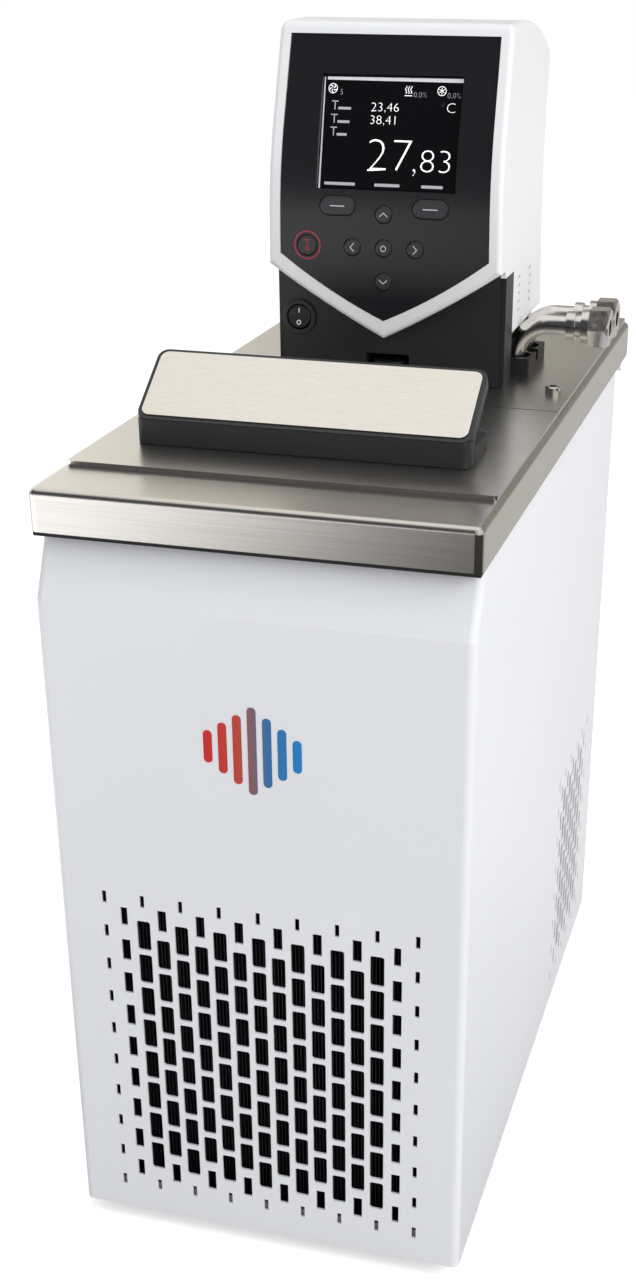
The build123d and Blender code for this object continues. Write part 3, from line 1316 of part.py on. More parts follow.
def make_discharge_line():
    """Copper line from the compressor to the upper end of the condenser."""
    half, y = condenser_tube_place()
    z = condenser_levels()[-1]
    return tube([(-half, y, z), (-LINE_X, y, z), (-LINE_X, 150.0, z), (-LINE_X, 150.0, PORT_Z),
                 (-PORT_X, 150.0, PORT_Z), (-PORT_X, COMPRESSOR_Y - port_reach(), PORT_Z)],
                LINE_BEND, LINE_RADIUS)


def make_liquid_line():
    """Line from the condenser through the filter drier and the capillary to the coil."""
    half, y = condenser_tube_place()
    z = condenser_levels()[0]
    line = tube([(-half, y, z), (-LINE_X, y, z), (-LINE_X, DRIER_Y, z), (-DRIER_X, DRIER_Y, z),
                 (-DRIER_X, DRIER_Y, DRIER_LOW)], LINE_BEND, LINE_RADIUS)
    top = DRIER_LOW + DRIER_LENGTH
    line += rod_z(-DRIER_X, DRIER_Y, DRIER_LOW, top, DRIER_RADIUS)
    line = chamfer([e for e in line.edges().filter_by(GeomType.CIRCLE)
                    if abs(e.radius - DRIER_RADIUS) < 0.01], 5.0)
    rear = evaporator_exit_y() + 12.0
    line += tube([(-DRIER_X, DRIER_Y, top - 1), (-DRIER_X, DRIER_Y, CAPILLARY_Z),
                  (-DRIER_X, rear, CAPILLARY_Z), (-DRIER_X, rear, EVAPORATOR_EXIT - 22),
                  (-EVAPORATOR_HALF, rear, EVAPORATOR_EXIT - 22),
                  (-EVAPORATOR_HALF, rear, EVAPORATOR_EXIT),
                  (-EVAPORATOR_HALF, evaporator_exit_y(), EVAPORATOR_EXIT)], 5.0, CAPILLARY)
    return line


def make_suction_line():
    """Wider line from the coil's right end back to the compressor."""
    rear = evaporator_exit_y() + 12.0
    return tube([(EVAPORATOR_HALF, evaporator_exit_y(), EVAPORATOR_EXIT),
                 (EVAPORATOR_HALF, rear, EVAPORATOR_EXIT), (EVAPORATOR_HALF, rear, PORT_Z),
                 (PORT_X, rear, PORT_Z), (PORT_X, COMPRESSOR_Y + port_reach(), PORT_Z)],
                LINE_BEND, LINE_RADIUS)


NODES = {
    "feet": make_feet,
    "base_tray": make_base_tray,
    "cabinet_shell": make_cabinet_shell,
    "rear_panel": make_rear_panel,
    "rim_gasket": make_rim_gasket,
    "rim_frame": make_rim_frame,
    "bath_tank": make_bath_tank,
    "tank_insulation": make_tank_insulation,
    "evaporator_coil": make_evaporator_coil,
    "bath_lid": make_bath_lid,
    "lid_handle": make_lid_handle,
    "handle_plate": make_handle_plate,
    "head_shell": make_head_shell,
    "front_panel": make_front_panel,
    "keypad_board": make_keypad_board,
    "display_module": make_display_module,
    "head_base": make_head_base,
    "head_cover": make_head_cover,
    "switch_bezel": make_switch_bezel,
    "switch_rocker": make_switch_rocker,
    "flow_knob": make_flow_knob,
    "mains_inlet": make_mains_inlet,
    "cooling_inlet": make_cooling_inlet,
    "control_board": make_control_board,
    "bridge_plate": make_bridge_plate,
    "cap_screws": make_cap_screws,
    "pump_motor": make_pump_motor,
    "pump_housing": make_pump_housing,
    "pump_rotor": make_pump_rotor,
    "riser_tubes": make_riser_tubes,
    "heater_coil": make_heater_coil,
    "temperature_probe": make_temperature_probe,
    "float_stem": make_float_stem,
    "level_float": make_level_float,
    "connection_block": make_connection_block,
    "pump_pipe_front": make_pump_pipe_front,
    "pump_pipe_rear": make_pump_pipe_rear,
    "union_nut_front": make_union_nut_front,
    "union_nut_rear": make_union_nut_rear,
    "condenser_frame": make_condenser_frame,
    "condenser_fins": make_condenser_fins,
    "condenser_tube": make_condenser_tube,
    "fan_shroud": make_fan_shroud,
    "fan_motor": make_fan_motor,
    "fan_rotor": make_fan_rotor,
    "compressor": make_compressor,
    "compressor_grommets": make_compressor_grommets,
    "discharge_line": make_discharge_line,
    "liquid_line": make_liquid_line,
    "suction_line": make_suction_line,
    "drain_valve": make_drain_valve,
    "drain_lever": make_drain_lever,
}


def main():
    os.makedirs("parts", exist_ok=True)
    to_origin = Pos(0, -CABINET_DEPTH / 2, 0)
    for node, make in NODES.items():
        export_step(to_origin * make(), f"parts/{node}.step")
    for node, (x, z, outline) in key_layout().items():
        export_step(to_origin * make_key(x, z, outline), f"parts/{node}.step")


main()
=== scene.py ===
"""Looks of the benchtop refrigerated circulator, in metres, in the frame of the solids."""
import json
import math

import bmesh
import bpy
from mathutils import Euler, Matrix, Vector


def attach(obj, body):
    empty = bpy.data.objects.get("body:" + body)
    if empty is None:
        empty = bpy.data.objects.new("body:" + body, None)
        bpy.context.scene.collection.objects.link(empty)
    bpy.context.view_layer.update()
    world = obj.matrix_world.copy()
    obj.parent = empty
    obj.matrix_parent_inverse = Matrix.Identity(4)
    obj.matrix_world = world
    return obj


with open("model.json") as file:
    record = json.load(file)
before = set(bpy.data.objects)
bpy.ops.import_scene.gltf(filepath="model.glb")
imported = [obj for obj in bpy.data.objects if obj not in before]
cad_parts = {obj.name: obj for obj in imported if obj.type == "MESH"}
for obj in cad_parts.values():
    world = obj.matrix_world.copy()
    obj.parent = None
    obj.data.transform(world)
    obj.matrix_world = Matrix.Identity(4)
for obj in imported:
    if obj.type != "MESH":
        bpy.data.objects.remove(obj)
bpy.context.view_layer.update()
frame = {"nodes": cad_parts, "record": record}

MM = 0.001
ORIGIN_Y = 188.0          # depths below are counted from the cabinet's front face, in mm
HEAD_X = 2.2              # middle of the head
PANEL_FACE = 209.6        # depth of the front panel where it is upright
KEY_FACE = 209.1          # depth of the keys' faces
KEYPAD_Z = 463.6          # height of the middle key

# Sockets of the Mix node, which has one set for numbers and one for colours
NUMBER_A, NUMBER_B, NUMBER_OUT = 2, 3, 0
COLOR_A, COLOR_B, COLOR_OUT = 6, 7, 2

BAR_STEP = 7.0            # from bar to bar in the front mark
SCRATCHES = 2600.0        # scratches of brushed sheet, per metre across them
MARK_DEPTH = 0.00002      # depth of scratches and other faint marks, in metres


def link(tree, a, b):
    tree.links.new(a, b)


def node(tree, kind, **inputs):
    made = tree.nodes.new(kind)
    for name, value in inputs.items():
        made.inputs[name.replace("_", " ")].default_value = value
    return made


# Materials

def new_material(name):
    material = bpy.data.materials.new(name)
    material.use_nodes = True
    tree = material.node_tree
    shader = tree.nodes["Principled BSDF"]
    return material, tree, shader


def stretched_noise(tree, scale, detail=4.0, roughness=0.6):
    """Noise in object space, stretched by three scales in 1/m."""
    place = tree.nodes.new("ShaderNodeTexCoord")
    mapping = node(tree, "ShaderNodeMapping", Scale=scale)
    noise = node(tree, "ShaderNodeTexNoise", Scale=1.0, Detail=detail, Roughness=roughness)
    link(tree, place.outputs["Object"], mapping.inputs["Vector"])
    link(tree, mapping.outputs["Vector"], noise.inputs["Vector"])
    return noise


def ramp(tree, source, stops):
    made = tree.nodes.new("ShaderNodeValToRGB")
    elements = made.color_ramp.elements
    while len(elements) > len(stops):
        elements.remove(elements[-1])
    while len(elements) < len(stops):
        elements.new(0.5)
    for element, (position, color) in zip(elements, stops):
        element.position = position
        element.color = (*color, 1.0)
    link(tree, source, made.inputs["Fac"])
    return made


def tones(color, spread):
    low = tuple(max(0.0, c * (1.0 - spread)) for c in color)
    high = tuple(min(1.0, c * (1.0 + spread)) for c in color)
    return low, high


def bump(tree, shader, height, strength, distance):
    made = node(tree, "ShaderNodeBump", Strength=strength, Distance=distance)
    link(tree, height, made.inputs["Height"])
    link(tree, made.outputs["Normal"], shader.inputs["Normal"])


def plastic(name, color, roughness, grain=1800.0, depth=0.00003, spread=0.05, coat=0.0):
    """Moulded or painted surface: a fine grain and a faint broad unevenness."""
    material, tree, shader = new_material(name)
    shader.inputs["Roughness"].default_value = roughness
    shader.inputs["Coat Weight"].default_value = coat
    shader.inputs["Coat Roughness"].default_value = 0.12
    broad = stretched_noise(tree, (9.0, 9.0, 9.0), 2.0)
    low, high = tones(color, spread)
    colors = ramp(tree, broad.outputs["Fac"], [(0.3, low), (0.7, high)])
    link(tree, colors.outputs["Color"], shader.inputs["Base Color"])
    fine = stretched_noise(tree, (grain, grain, grain), 3.0)
    bump(tree, shader, fine.outputs["Fac"], 0.35, depth)
    rough = node(tree, "ShaderNodeMapRange", From_Min=0.3, From_Max=0.7,
                 To_Min=roughness * 0.9, To_Max=min(1.0, roughness * 1.12))
    link(tree, fine.outputs["Fac"], rough.inputs["Value"])
    link(tree, rough.outputs["Result"], shader.inputs["Roughness"])
    return material


def turned_on_sides(tree, lines, side):
    """One pattern on most faces and another on those that look along X."""
    geometry = tree.nodes.new("ShaderNodeNewGeometry")
    parts = tree.nodes.new("ShaderNodeSeparateXYZ")
    size = tree.nodes.new("ShaderNodeMath")
    size.operation = "ABSOLUTE"
    sideways = tree.nodes.new("ShaderNodeMath")
    sideways.operation = "GREATER_THAN"
    sideways.inputs[1].default_value = 0.7
    mix = tree.nodes.new("ShaderNodeMix")
    link(tree, geometry.outputs["Normal"], parts.inputs[0])
    link(tree, parts.outputs["X"], size.inputs[0])
    link(tree, size.outputs[0], sideways.inputs[0])
    link(tree, sideways.outputs[0], mix.inputs["Factor"])
    link(tree, lines, mix.inputs[NUMBER_A])
    link(tree, side, mix.inputs[NUMBER_B])
    return mix.outputs[NUMBER_OUT]


def brushed(name, color, roughness, turn_sides=False, spread=0.10, slow=14.0):
    """Brushed sheet: fine scratches along X, or along Y on faces that look sideways."""
    material, tree, shader = new_material(name)
    shader.inputs["Metallic"].default_value = 1.0
    lines = stretched_noise(tree, (slow, SCRATCHES, SCRATCHES), 5.0).outputs["Fac"]
    if turn_sides:
        side = stretched_noise(tree, (SCRATCHES, slow, SCRATCHES), 5.0).outputs["Fac"]
        lines = turned_on_sides(tree, lines, side)
    low, high = tones(color, spread)
    colors = ramp(tree, lines, [(0.30, low), (0.70, high)])
    cloud = stretched_noise(tree, (6.0, 6.0, 6.0), 2.0)
    haze = node(tree, "ShaderNodeMapRange", From_Min=0.0, From_Max=1.0,
                To_Min=roughness * 0.92, To_Max=roughness * 1.10)
    link(tree, cloud.outputs["Fac"], haze.inputs["Value"])
    link(tree, haze.outputs["Result"], shader.inputs["Roughness"])
    link(tree, colors.outputs["Color"], shader.inputs["Base Color"])
    bump(tree, shader, lines, 0.25, MARK_DEPTH)
    return material


def metal(name, color, roughness, grain=500.0, dents=0.15):
    """Turned, drawn or cast metal with faint marks."""
    material, tree, shader = new_material(name)
    shader.inputs["Metallic"].default_value = 1.0
    marks = stretched_noise(tree, (grain, grain, grain), 4.0)
    low, high = tones(color, 0.08)
    colors = ramp(tree, marks.outputs["Fac"], [(0.35, low), (0.65, high)])
    link(tree, colors.outputs["Color"], shader.inputs["Base Color"])
    rough = node(tree, "ShaderNodeMapRange", From_Min=0.3, From_Max=0.7,
                 To_Min=roughness * 0.7, To_Max=roughness * 1.3)
    link(tree, marks.outputs["Fac"], rough.inputs["Value"])
    link(tree, rough.outputs["Result"], shader.inputs["Roughness"])
    bump(tree, shader, marks.outputs["Fac"], dents, MARK_DEPTH)
    return material


def lit_print(name, color, strength):
    """Print that glows, faintly uneven: lit display segments; on the frame strips and the key,
    ring and rocker marks the glow is painted light.
    """
    material, tree, shader = new_material(name)
    noise = stretched_noise(tree, (900.0, 900.0, 900.0), 2.0)
    low, high = tones(color, 0.05)
    colors = ramp(tree, noise.outputs["Fac"], [(0.3, low), (0.7, high)])
    link(tree, colors.outputs["Color"], shader.inputs["Base Color"])
    link(tree, colors.outputs["Color"], shader.inputs["Emission Color"])
    shader.inputs["Emission Strength"].default_value = strength
    shader.inputs["Roughness"].default_value = 0.4
    return material


def warm_to_cold(name):
    """Print that runs from red to blue across the bars of the front mark."""
    material, tree, shader = new_material(name)
    place = tree.nodes.new("ShaderNodeTexCoord")
    parts = tree.nodes.new("ShaderNodeSeparateXYZ")
    reach = (3 * BAR_STEP + 3.0) * MM
    spread = node(tree, "ShaderNodeMapRange", From_Min=-reach, From_Max=reach)
    link(tree, place.outputs["Object"], parts.inputs[0])
    link(tree, parts.outputs["X"], spread.inputs["Value"])
    colors = ramp(tree, spread.outputs["Result"], [
        (0.0, (0.62, 0.012, 0.012)), (0.35, (0.55, 0.05, 0.03)), (0.5, (0.22, 0.12, 0.14)),
        (0.65, (0.03, 0.16, 0.38)), (1.0, (0.0, 0.23, 0.62))])
    link(tree, colors.outputs["Color"], shader.inputs["Base Color"])
    shader.inputs["Roughness"].default_value = 0.35
    noise = stretched_noise(tree, (2200.0, 2200.0, 2200.0), 2.0)
    bump(tree, shader, noise.outputs["Fac"], 0.2, MARK_DEPTH)
    return material


looks = {
    "cabinet_paint": plastic("cabinet_paint", (0.80, 0.805, 0.83), 0.38, 1500.0, 0.00004, 0.008),
    "inner_sheet": plastic("inner_sheet", (0.16, 0.16, 0.17), 0.5),
    "brushed_steel": brushed("brushed_steel", (0.70, 0.68, 0.64), 0.28, turn_sides=True),
    "plate_steel": brushed("plate_steel", (0.86, 0.83, 0.78), 0.36, spread=0.07, slow=150.0),
    "bright_steel": metal("bright_steel", (0.74, 0.715, 0.68), 0.20, 300.0, 0.03),
    "white_plastic": plastic("white_plastic", (0.86, 0.865, 0.875), 0.34, 2200.0, 0.00003, 0.008),
    "black_plastic": plastic("black_plastic", (0.024, 0.024, 0.027), 0.42, 2000.0, 0.00005, 0.15),
    "panel_black": plastic("panel_black", (0.012, 0.012, 0.0145), 0.30, 2600.0, 0.00002, 0.08),
    "key_black": plastic("key_black", (0.030, 0.030, 0.034), 0.36, 2600.0, 0.00002, 0.08),
    "screen": plastic("screen", (0.004, 0.004, 0.005), 0.09, 700.0, 0.000001, 0.05),
    "rubber_black": plastic("rubber_black", (0.018, 0.018, 0.018), 0.7, 1200.0, 0.00006, 0.15),
    "foam": plastic("foam", (0.72, 0.60, 0.34), 0.9, 400.0, 0.0003, 0.08),
    "copper": metal("copper", (0.78, 0.40, 0.26), 0.30),
    "brass_fitting": metal("brass_fitting", (0.74, 0.56, 0.26), 0.28),
    "board_green": plastic("board_green", (0.02, 0.13, 0.05), 0.35, 700.0, 0.00004, 0.2),
    "motor_metal": metal("motor_metal", (0.55, 0.56, 0.57), 0.35),
    "fin_metal": plastic("fin_metal", (0.022, 0.022, 0.024), 0.45, 900.0, 0.00004, 0.2),
    "compressor_paint": plastic("compressor_paint", (0.015, 0.015, 0.016), 0.22),
    "fan_plastic": plastic("fan_plastic", (0.03, 0.03, 0.03), 0.45),
    "lever_red": plastic("lever_red", (0.42, 0.02, 0.015), 0.4),
}
display_white = lit_print("display_white", (0.90, 0.92, 0.93), 0.75)
display_grey = lit_print("display_grey", (0.42, 0.43, 0.45), 0.22)
# Glowing strips along the top and left of the display's frame: a painted highlight, not a lamp.
frame_highlight = lit_print("frame_highlight", (0.62, 0.62, 0.66), 0.35)
# The marks on the keys, the limit ring and the rocker glow faintly though no lamp lights them:
# painted light that brightens the print.
key_print = lit_print("key_print", (0.60, 0.61, 0.63), 0.05)
ring_red = lit_print("ring_red", (0.50, 0.03, 0.06), 0.05)
switch_print = lit_print("switch_print", (0.85, 0.85, 0.85), 0.05)
front_mark = warm_to_cold("front_mark")

slots = {entry["node"]: entry["material_slot"] for entry in frame["record"]["subparts"]}
for name, obj in frame["nodes"].items():
    look = looks[slots[name]]
    if obj.material_slots:
        for slot in obj.material_slots:
            slot.material = look
    else:
        obj.data.materials.append(look)

# Softened edges on the crisp pieces, in mm
edge_widths = {
    "lid_handle": 0.9, "handle_plate": 0.25, "connection_block": 0.6, "head_base": 0.5,
    "head_cover": 0.4, "bath_lid": 0.7, "bridge_plate": 0.6, "union_nut_front": 0.4,
    "union_nut_rear": 0.4, "flow_knob": 0.2, "rear_panel": 0.4, "mains_inlet": 0.4,
    "cooling_inlet": 0.4, "cap_screws": 0.2, "switch_rocker": 0.3, "front_panel": 0.3,
}
for name, width in edge_widths.items():
    modifier = frame["nodes"][name].modifiers.new("edge", "BEVEL")
    modifier.width = width * MM
    modifier.segments = 3
    modifier.limit_method = "ANGLE"
    modifier.angle_limit = math.radians(38)


# The handle's upright nose: in the photograph its front runs straight down to the lid
LID_TOP = 394.1
HANDLE_FOOT = (74.6, 406.0)   # depth and height of the sloping face's lower edge
HANDLE_HALF = 78.9
NOSE_DEPTH = 9.5
NOSE_CORNER = 4.0


def handle_nose(bm):
    """Wedge that closes the handle's front, with rounded upright corners."""
    front, top = HANDLE_FOOT
    rows = []
    for z in (LID_TOP + 0.05, top):
        row = []
        for side in (-1, 1):
            for i in range(7):
                a = math.radians(15 * i if side < 0 else 90 - 15 * i)
                x = side * (HANDLE_HALF - NOSE_CORNER + NOSE_CORNER * math.cos(a))
                row.append((x, front + NOSE_CORNER - NOSE_CORNER * math.sin(a), z))
        row += [(HANDLE_HALF, front + NOSE_DEPTH, z), (-HANDLE_HALF, front + NOSE_DEPTH, z)]
        rows.append(row)
    low, high = [[bm.verts.new((x * MM, (y - ORIGIN_Y) * MM, z * MM)) for x, y, z in row]
                 for row in rows]
    bm.faces.new(low[::-1])
    bm.faces.new(high)
    for i in range(len(low)):
        j = (i + 1) % len(low)
        bm.faces.new((low[i], low[j], high[j], high[i]))


# Thin raised prints

ON_GLASS = (0.0, 0.06)    # lower and upper side of a print, in mm from its face
ON_KEY = (-0.02, 0.05)
ON_PANEL = (-0.02, 0.08)
ON_ROCKER = (2.0, 3.2)
ON_CABINET = (-0.02, 0.12)
DIGIT_SHARE = 0.68        # height of a digit as a share of the font's size


class Face:
    """Flat place on the object: a point, its tilt from upright and the depth of a print."""

    def __init__(self, x, y, z, lean=0.0):
        self.point = Vector((x, y - ORIGIN_Y, z)) * MM
        s = math.radians(lean)
        self.up = Vector((0.0, math.sin(s), math.cos(s)))
        self.out = Vector((0.0, -math.cos(s), math.sin(s)))
        self.turn = Euler((math.pi / 2 - s, 0.0, 0.0))

    def at(self, u, v, h=0.0):
        return self.point + Vector((u * MM, 0, 0)) + self.up * (v * MM) + self.out * (h * MM)


def add_mesh(name, draw, material, body):
    """Piece from a function that draws into an empty mesh."""
    bm = bmesh.new()
    draw(bm)
    bmesh.ops.recalc_face_normals(bm, faces=bm.faces)
    mesh = bpy.data.meshes.new(name)
    bm.to_mesh(mesh)
    bm.free()
    piece = bpy.data.objects.new(name, mesh)
    bpy.context.scene.collection.objects.link(piece)
    piece.data.materials.append(material)
    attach(piece, body)
    return piece


def raise_outline(bm, face, outline, low, high):
    """Closed outline in the face's plane, given thickness."""
    bottom = [bm.verts.new(face.at(u, v, low)) for u, v in outline]
    top = [bm.verts.new(face.at(u, v, high)) for u, v in outline]
    bm.faces.new(top)
    bm.faces.new(bottom[::-1])
    for i in range(len(outline)):
        j = (i + 1) % len(outline)
        bm.faces.new((bottom[i], bottom[j], top[j], top[i]))


def raise_ring(bm, face, u, v, radius, width, low, high, count=48):
    """Closed ring of rectangular section."""
    rows = []
    for i in range(count):
        a = math.radians(360.0 * i / count)
        row = []
        for r, h in ((radius - width / 2, low), (radius + width / 2, low),
                     (radius + width / 2, high), (radius - width / 2, high)):
            row.append(bm.verts.new(face.at(u + r * math.cos(a), v + r * math.sin(a), h)))
        rows.append(row)
    for i in range(count):
        a, b = rows[i], rows[(i + 1) % count]
        for k in range(4):
            m = (k + 1) % 4
            bm.faces.new((a[k], a[m], b[m], b[k]))


def raise_stroke(bm, face, points, width, low, high):
    """Polyline of even width with mitred corners."""
    left, right = [], []
    for i, point in enumerate(points):
        p = Vector(point)
        before = (p - Vector(points[i - 1])).normalized() if i else None
        after = (Vector(points[i + 1]) - p).normalized() if i < len(points) - 1 else None
        before = before or after
        after = after or before
        normal = Vector((-(before + after).y, (before + after).x)).normalized()
        reach = width / 2 / max(0.3, normal.dot(Vector((-before.y, before.x))))
        left.append(tuple(p + normal * reach))
        right.append(tuple(p - normal * reach))
    raise_outline(bm, face, left + right[::-1], low, high)


def rounded_bar(u0, u1, v0, v1, radius, steps=6):
    """Outline of a bar with round corners."""
    outline = []
    corners = [(u1 - radius, v1 - radius, 0), (u0 + radius, v1 - radius, 90),
               (u0 + radius, v0 + radius, 180), (u1 - radius, v0 + radius, 270)]
    for cu, cv, start in corners:
        for i in range(steps + 1):
            a = math.radians(start + 90 * i / steps)
            outline.append((cu + radius * math.cos(a), cv + radius * math.sin(a)))
    return outline


def reading(name, text, face, u, v, height, material, stretch, thin):
    """Digits as raised print on the display, their lower left corner at u, v."""
    curve = bpy.data.curves.new(name, "FONT")
    curve.body = text
    curve.size = height / DIGIT_SHARE * MM
    curve.offset = -thin * height * MM
    curve.extrude = 0.02 * MM
    curve.resolution_u = 3
    holder = bpy.data.objects.new(name + "_text", curve)
    bpy.context.scene.collection.objects.link(holder)
    bpy.context.view_layer.update()
    graph = bpy.context.evaluated_depsgraph_get()
    mesh = bpy.data.meshes.new_from_object(holder.evaluated_get(graph))
    bpy.data.objects.remove(holder)
    turn = face.turn.to_matrix()
    for vertex in mesh.vertices:
        vertex.co.x *= stretch
        vertex.co = face.at(u, v, 0.04) + turn @ vertex.co
    piece = bpy.data.objects.new(name, mesh)
    bpy.context.scene.collection.objects.link(piece)
    mesh.materials.clear()
    mesh.materials.append(material)
    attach(piece, "cabinet")


nose = add_mesh("handle_nose", handle_nose, looks["black_plastic"], "lid")
soften = nose.modifiers.new("edge", "BEVEL")
soften.width = 0.5 * MM
soften.segments = 3
soften.limit_method = "ANGLE"

# Display, seen on its glass
glass = Face(2.8, 219.005, 516.894, 14.65)
ICON_ROW = 20.6
for name, text, u, v, height, material, stretch, thin in (
        ("reading_large", "27", -12.0, -17.6, 15.4, display_white, 1.10, 0.042),
        ("reading_decimals", ",83", 11.4, -17.6, 10.9, display_white, 1.12, 0.040),
        ("reading_set", "23,46", -10.8, 10.4, 4.1, display_white, 1.1, 0.036),
        ("reading_second", "38,41", -11.1, 4.4, 4.1, display_white, 1.1, 0.036),
        ("reading_unit", "°C", 24.2, 10.6, 4.6, display_white, 1.1, 0.038),
        ("reading_fan", "5", -27.0, 17.8, 2.5, display_grey, 1.0, 0.034),
        ("reading_heat", "0,0%", 10.4, 17.4, 2.5, display_grey, 1.0, 0.036),
        ("reading_cold", "0,0%", 27.4, 17.4, 2.5, display_grey, 1.0, 0.036)):
    reading(name, text, glass, u, v, height, material, stretch, thin)


def fan_icon(bm, u):
    """Ring with five bent blades."""
    raise_ring(bm, glass, u, ICON_ROW, 2.2, 0.28, *ON_GLASS)
    for blade in range(5):
        a = math.radians(72 * blade + 20)
        points = [(u + r * math.cos(a + bend), ICON_ROW + r * math.sin(a + bend))
                  for r, bend in ((0.5, 0.0), (1.3, 0.2), (1.9, 0.7))]
        raise_stroke(bm, glass, points, 0.34, *ON_GLASS)


def heat_icon(bm, u):
    """Three waves over a bar."""
    for left in (u - 1.3, u, u + 1.3):
        points = [(left + 0.35 * math.sin(i * 1.2), ICON_ROW - 1.6 + i * 0.5) for i in range(8)]
        raise_stroke(bm, glass, points, 0.3, *ON_GLASS)
    bar = rounded_bar(u - 1.9, u + 1.9, ICON_ROW - 2.7, ICON_ROW - 2.4, 0.14)
    raise_outline(bm, glass, bar, *ON_GLASS)


def cold_icon(bm, u):
    """Ring with three crossed strokes."""
    raise_ring(bm, glass, u, ICON_ROW, 2.1, 0.28, *ON_GLASS)
    for stroke in range(3):
        a = math.radians(60 * stroke + 30)
        du, dv = 1.6 * math.cos(a), 1.6 * math.sin(a)
        points = [(u - du, ICON_ROW - dv), (u + du, ICON_ROW + dv)]
        raise_stroke(bm, glass, points, 0.26, *ON_GLASS)


def display_icons(bm):
    fan_icon(bm, -30.6)
    heat_icon(bm, 7.9)
    cold_icon(bm, 24.6)


def display_bars(bm):
    """Three rows of a letter T with a bar for its index, and bars over the soft keys."""
    for v, length in ((12.2, 6.6), (5.9, 6.2), (-0.1, 5.2)):
        for bar in (rounded_bar(-30.8, -27.4, v + 2.2, v + 2.7, 0.2),
                    rounded_bar(-29.35, -28.85, v - 1.5, v + 2.4, 0.2),
                    rounded_bar(-27.4, -27.4 + length, v - 1.4, v - 0.2, 0.3)):
            raise_outline(bm, glass, bar, *ON_GLASS)
    for left, right in ((-32.3, -16.3), (-6.4, 6.6), (17.6, 28.6)):
        raise_outline(bm, glass, rounded_bar(left, right, -24.9, -23.5, 0.5), *ON_GLASS)


def frame_highlights(bm):
    """Glowing strips at the top and the left of the window: a painted highlight on the edges of
    the display's frame.
    """
    top = [(-33.6, 24.6), (35.2, 24.6), (35.2, 26.4), (-33.6, 26.0)]
    left = [(-35.2, -26.6), (-34.4, -26.6), (-34.6, 25.8), (-35.2, 26.0)]
    for outline in (top, left):
        raise_outline(bm, glass, outline, 0.0, 0.08)


add_mesh("display_icons", display_icons, display_white, "cabinet")
add_mesh("display_bars", display_bars, display_grey, "cabinet")
# Painted highlight along the frame's top and left edges.
add_mesh("frame_highlights", frame_highlights, frame_highlight, "cabinet")

# Marks on the keys and the ring round the limit key
keys = Face(HEAD_X, KEY_FACE, KEYPAD_Z)
panel = Face(HEAD_X, PANEL_FACE, KEYPAD_Z)
KEY_STEP = 16.3
SOFT_KEY = 23.9
LIMIT_KEY = -39.9


def key_mark(name, body, draw):
    add_mesh(name, draw, key_print, body)


def chevron(u, v, turn):
    """Draws an arrow head; at turn 0 it points up."""
    size = 2.1
    points = []
    for a, b in ((-size, -size * 0.45), (0.0, size * 0.45), (size, -size * 0.45)):
        c, s = math.cos(turn), math.sin(turn)
        points.append((u + a * c - b * s, v + a * s + b * c))
    return lambda bm: raise_stroke(bm, keys, points, 0.42, *ON_KEY)


def dash(u):
    """Draws the short line on a soft key."""
    outline = rounded_bar(u - 3.8, u + 3.8, 19.45, 19.95, 0.2)
    return lambda bm: raise_outline(bm, keys, outline, *ON_KEY)


def enter_circle(bm):
    raise_ring(bm, keys, 0.0, 0.0, 1.3, 0.42, *ON_KEY, 32)


def limit_ring(bm):
    raise_ring(bm, panel, LIMIT_KEY, 0.0, 6.7, 0.5, *ON_PANEL, 64)


def limit_mark(bm):
    """Small thermometer-like sign."""
    raise_ring(bm, keys, LIMIT_KEY, -1.5, 0.9, 0.35, *ON_KEY, 32)
    raise_stroke(bm, keys, [(LIMIT_KEY, -0.7), (LIMIT_KEY, 2.6)], 0.35, *ON_KEY)
    raise_stroke(bm, keys, [(LIMIT_KEY - 1.5, 2.6), (LIMIT_KEY + 1.5, 2.6)], 0.35, *ON_KEY)


key_mark("mark_up", "key_up_cap", chevron(0.0, KEY_STEP, 0.0))
key_mark("mark_down", "key_down_cap", chevron(0.0, -KEY_STEP, math.pi))
key_mark("mark_left", "key_left_cap", chevron(-KEY_STEP, 0.0, math.pi / 2))
key_mark("mark_right", "key_right_cap", chevron(KEY_STEP, 0.0, -math.pi / 2))
key_mark("mark_enter", "key_enter_cap", enter_circle)
key_mark("mark_soft_left", "key_soft_left_cap", dash(-SOFT_KEY))
key_mark("mark_soft_right", "key_soft_right_cap", dash(SOFT_KEY))
add_mesh("limit_ring", limit_ring, ring_red, "cabinet")
add_mesh("mark_limit", limit_mark, ring_red, "key_limit_cap")

# Marks on the two ends of the mains rocker; its face leans about the rocker's axis
rocker = Face(-46.3, 223.5, 424.9, 7.0)


def switch_marks(bm):
    """I above and O below."""
    raise_stroke(bm, rocker, [(0.0, 1.9), (0.0, 4.3)], 0.5, *ON_ROCKER)
    raise_ring(bm, rocker, 0.0, -3.1, 1.0, 0.45, *ON_ROCKER, 32)


add_mesh("mark_switch", switch_marks, switch_print, "rocker")

# Generic row of bars from warm to cold on the cabinet's front
front = Face(0.0, 0.0, 280.6)
BAR_HEIGHTS = (16.0, 25.0, 34.0, 43.0, 34.0, 25.0, 16.0)
BAR_HALF = 2.1


def front_bars(bm):
    for index, height in enumerate(BAR_HEIGHTS):
        middle = (index - 3) * BAR_STEP
        bar = rounded_bar(middle - BAR_HALF, middle + BAR_HALF, -height / 2, height / 2, 2.05)
        raise_outline(bm, front, bar, *ON_CABINET)


add_mesh("front_bars", front_bars, front_mark, "cabinet")


# Studio

def stage_plane(name, size, location):
    half = size / 2
    mesh = bpy.data.meshes.new(name)
    mesh.from_pydata([(-half, -half, 0), (half, -half, 0), (half, half, 0), (-half, half, 0)],
                     [], [(0, 1, 2, 3)])
    plane = bpy.data.objects.new(name, mesh)
    plane.location = location
    bpy.context.scene.collection.objects.link(plane)
    return plane


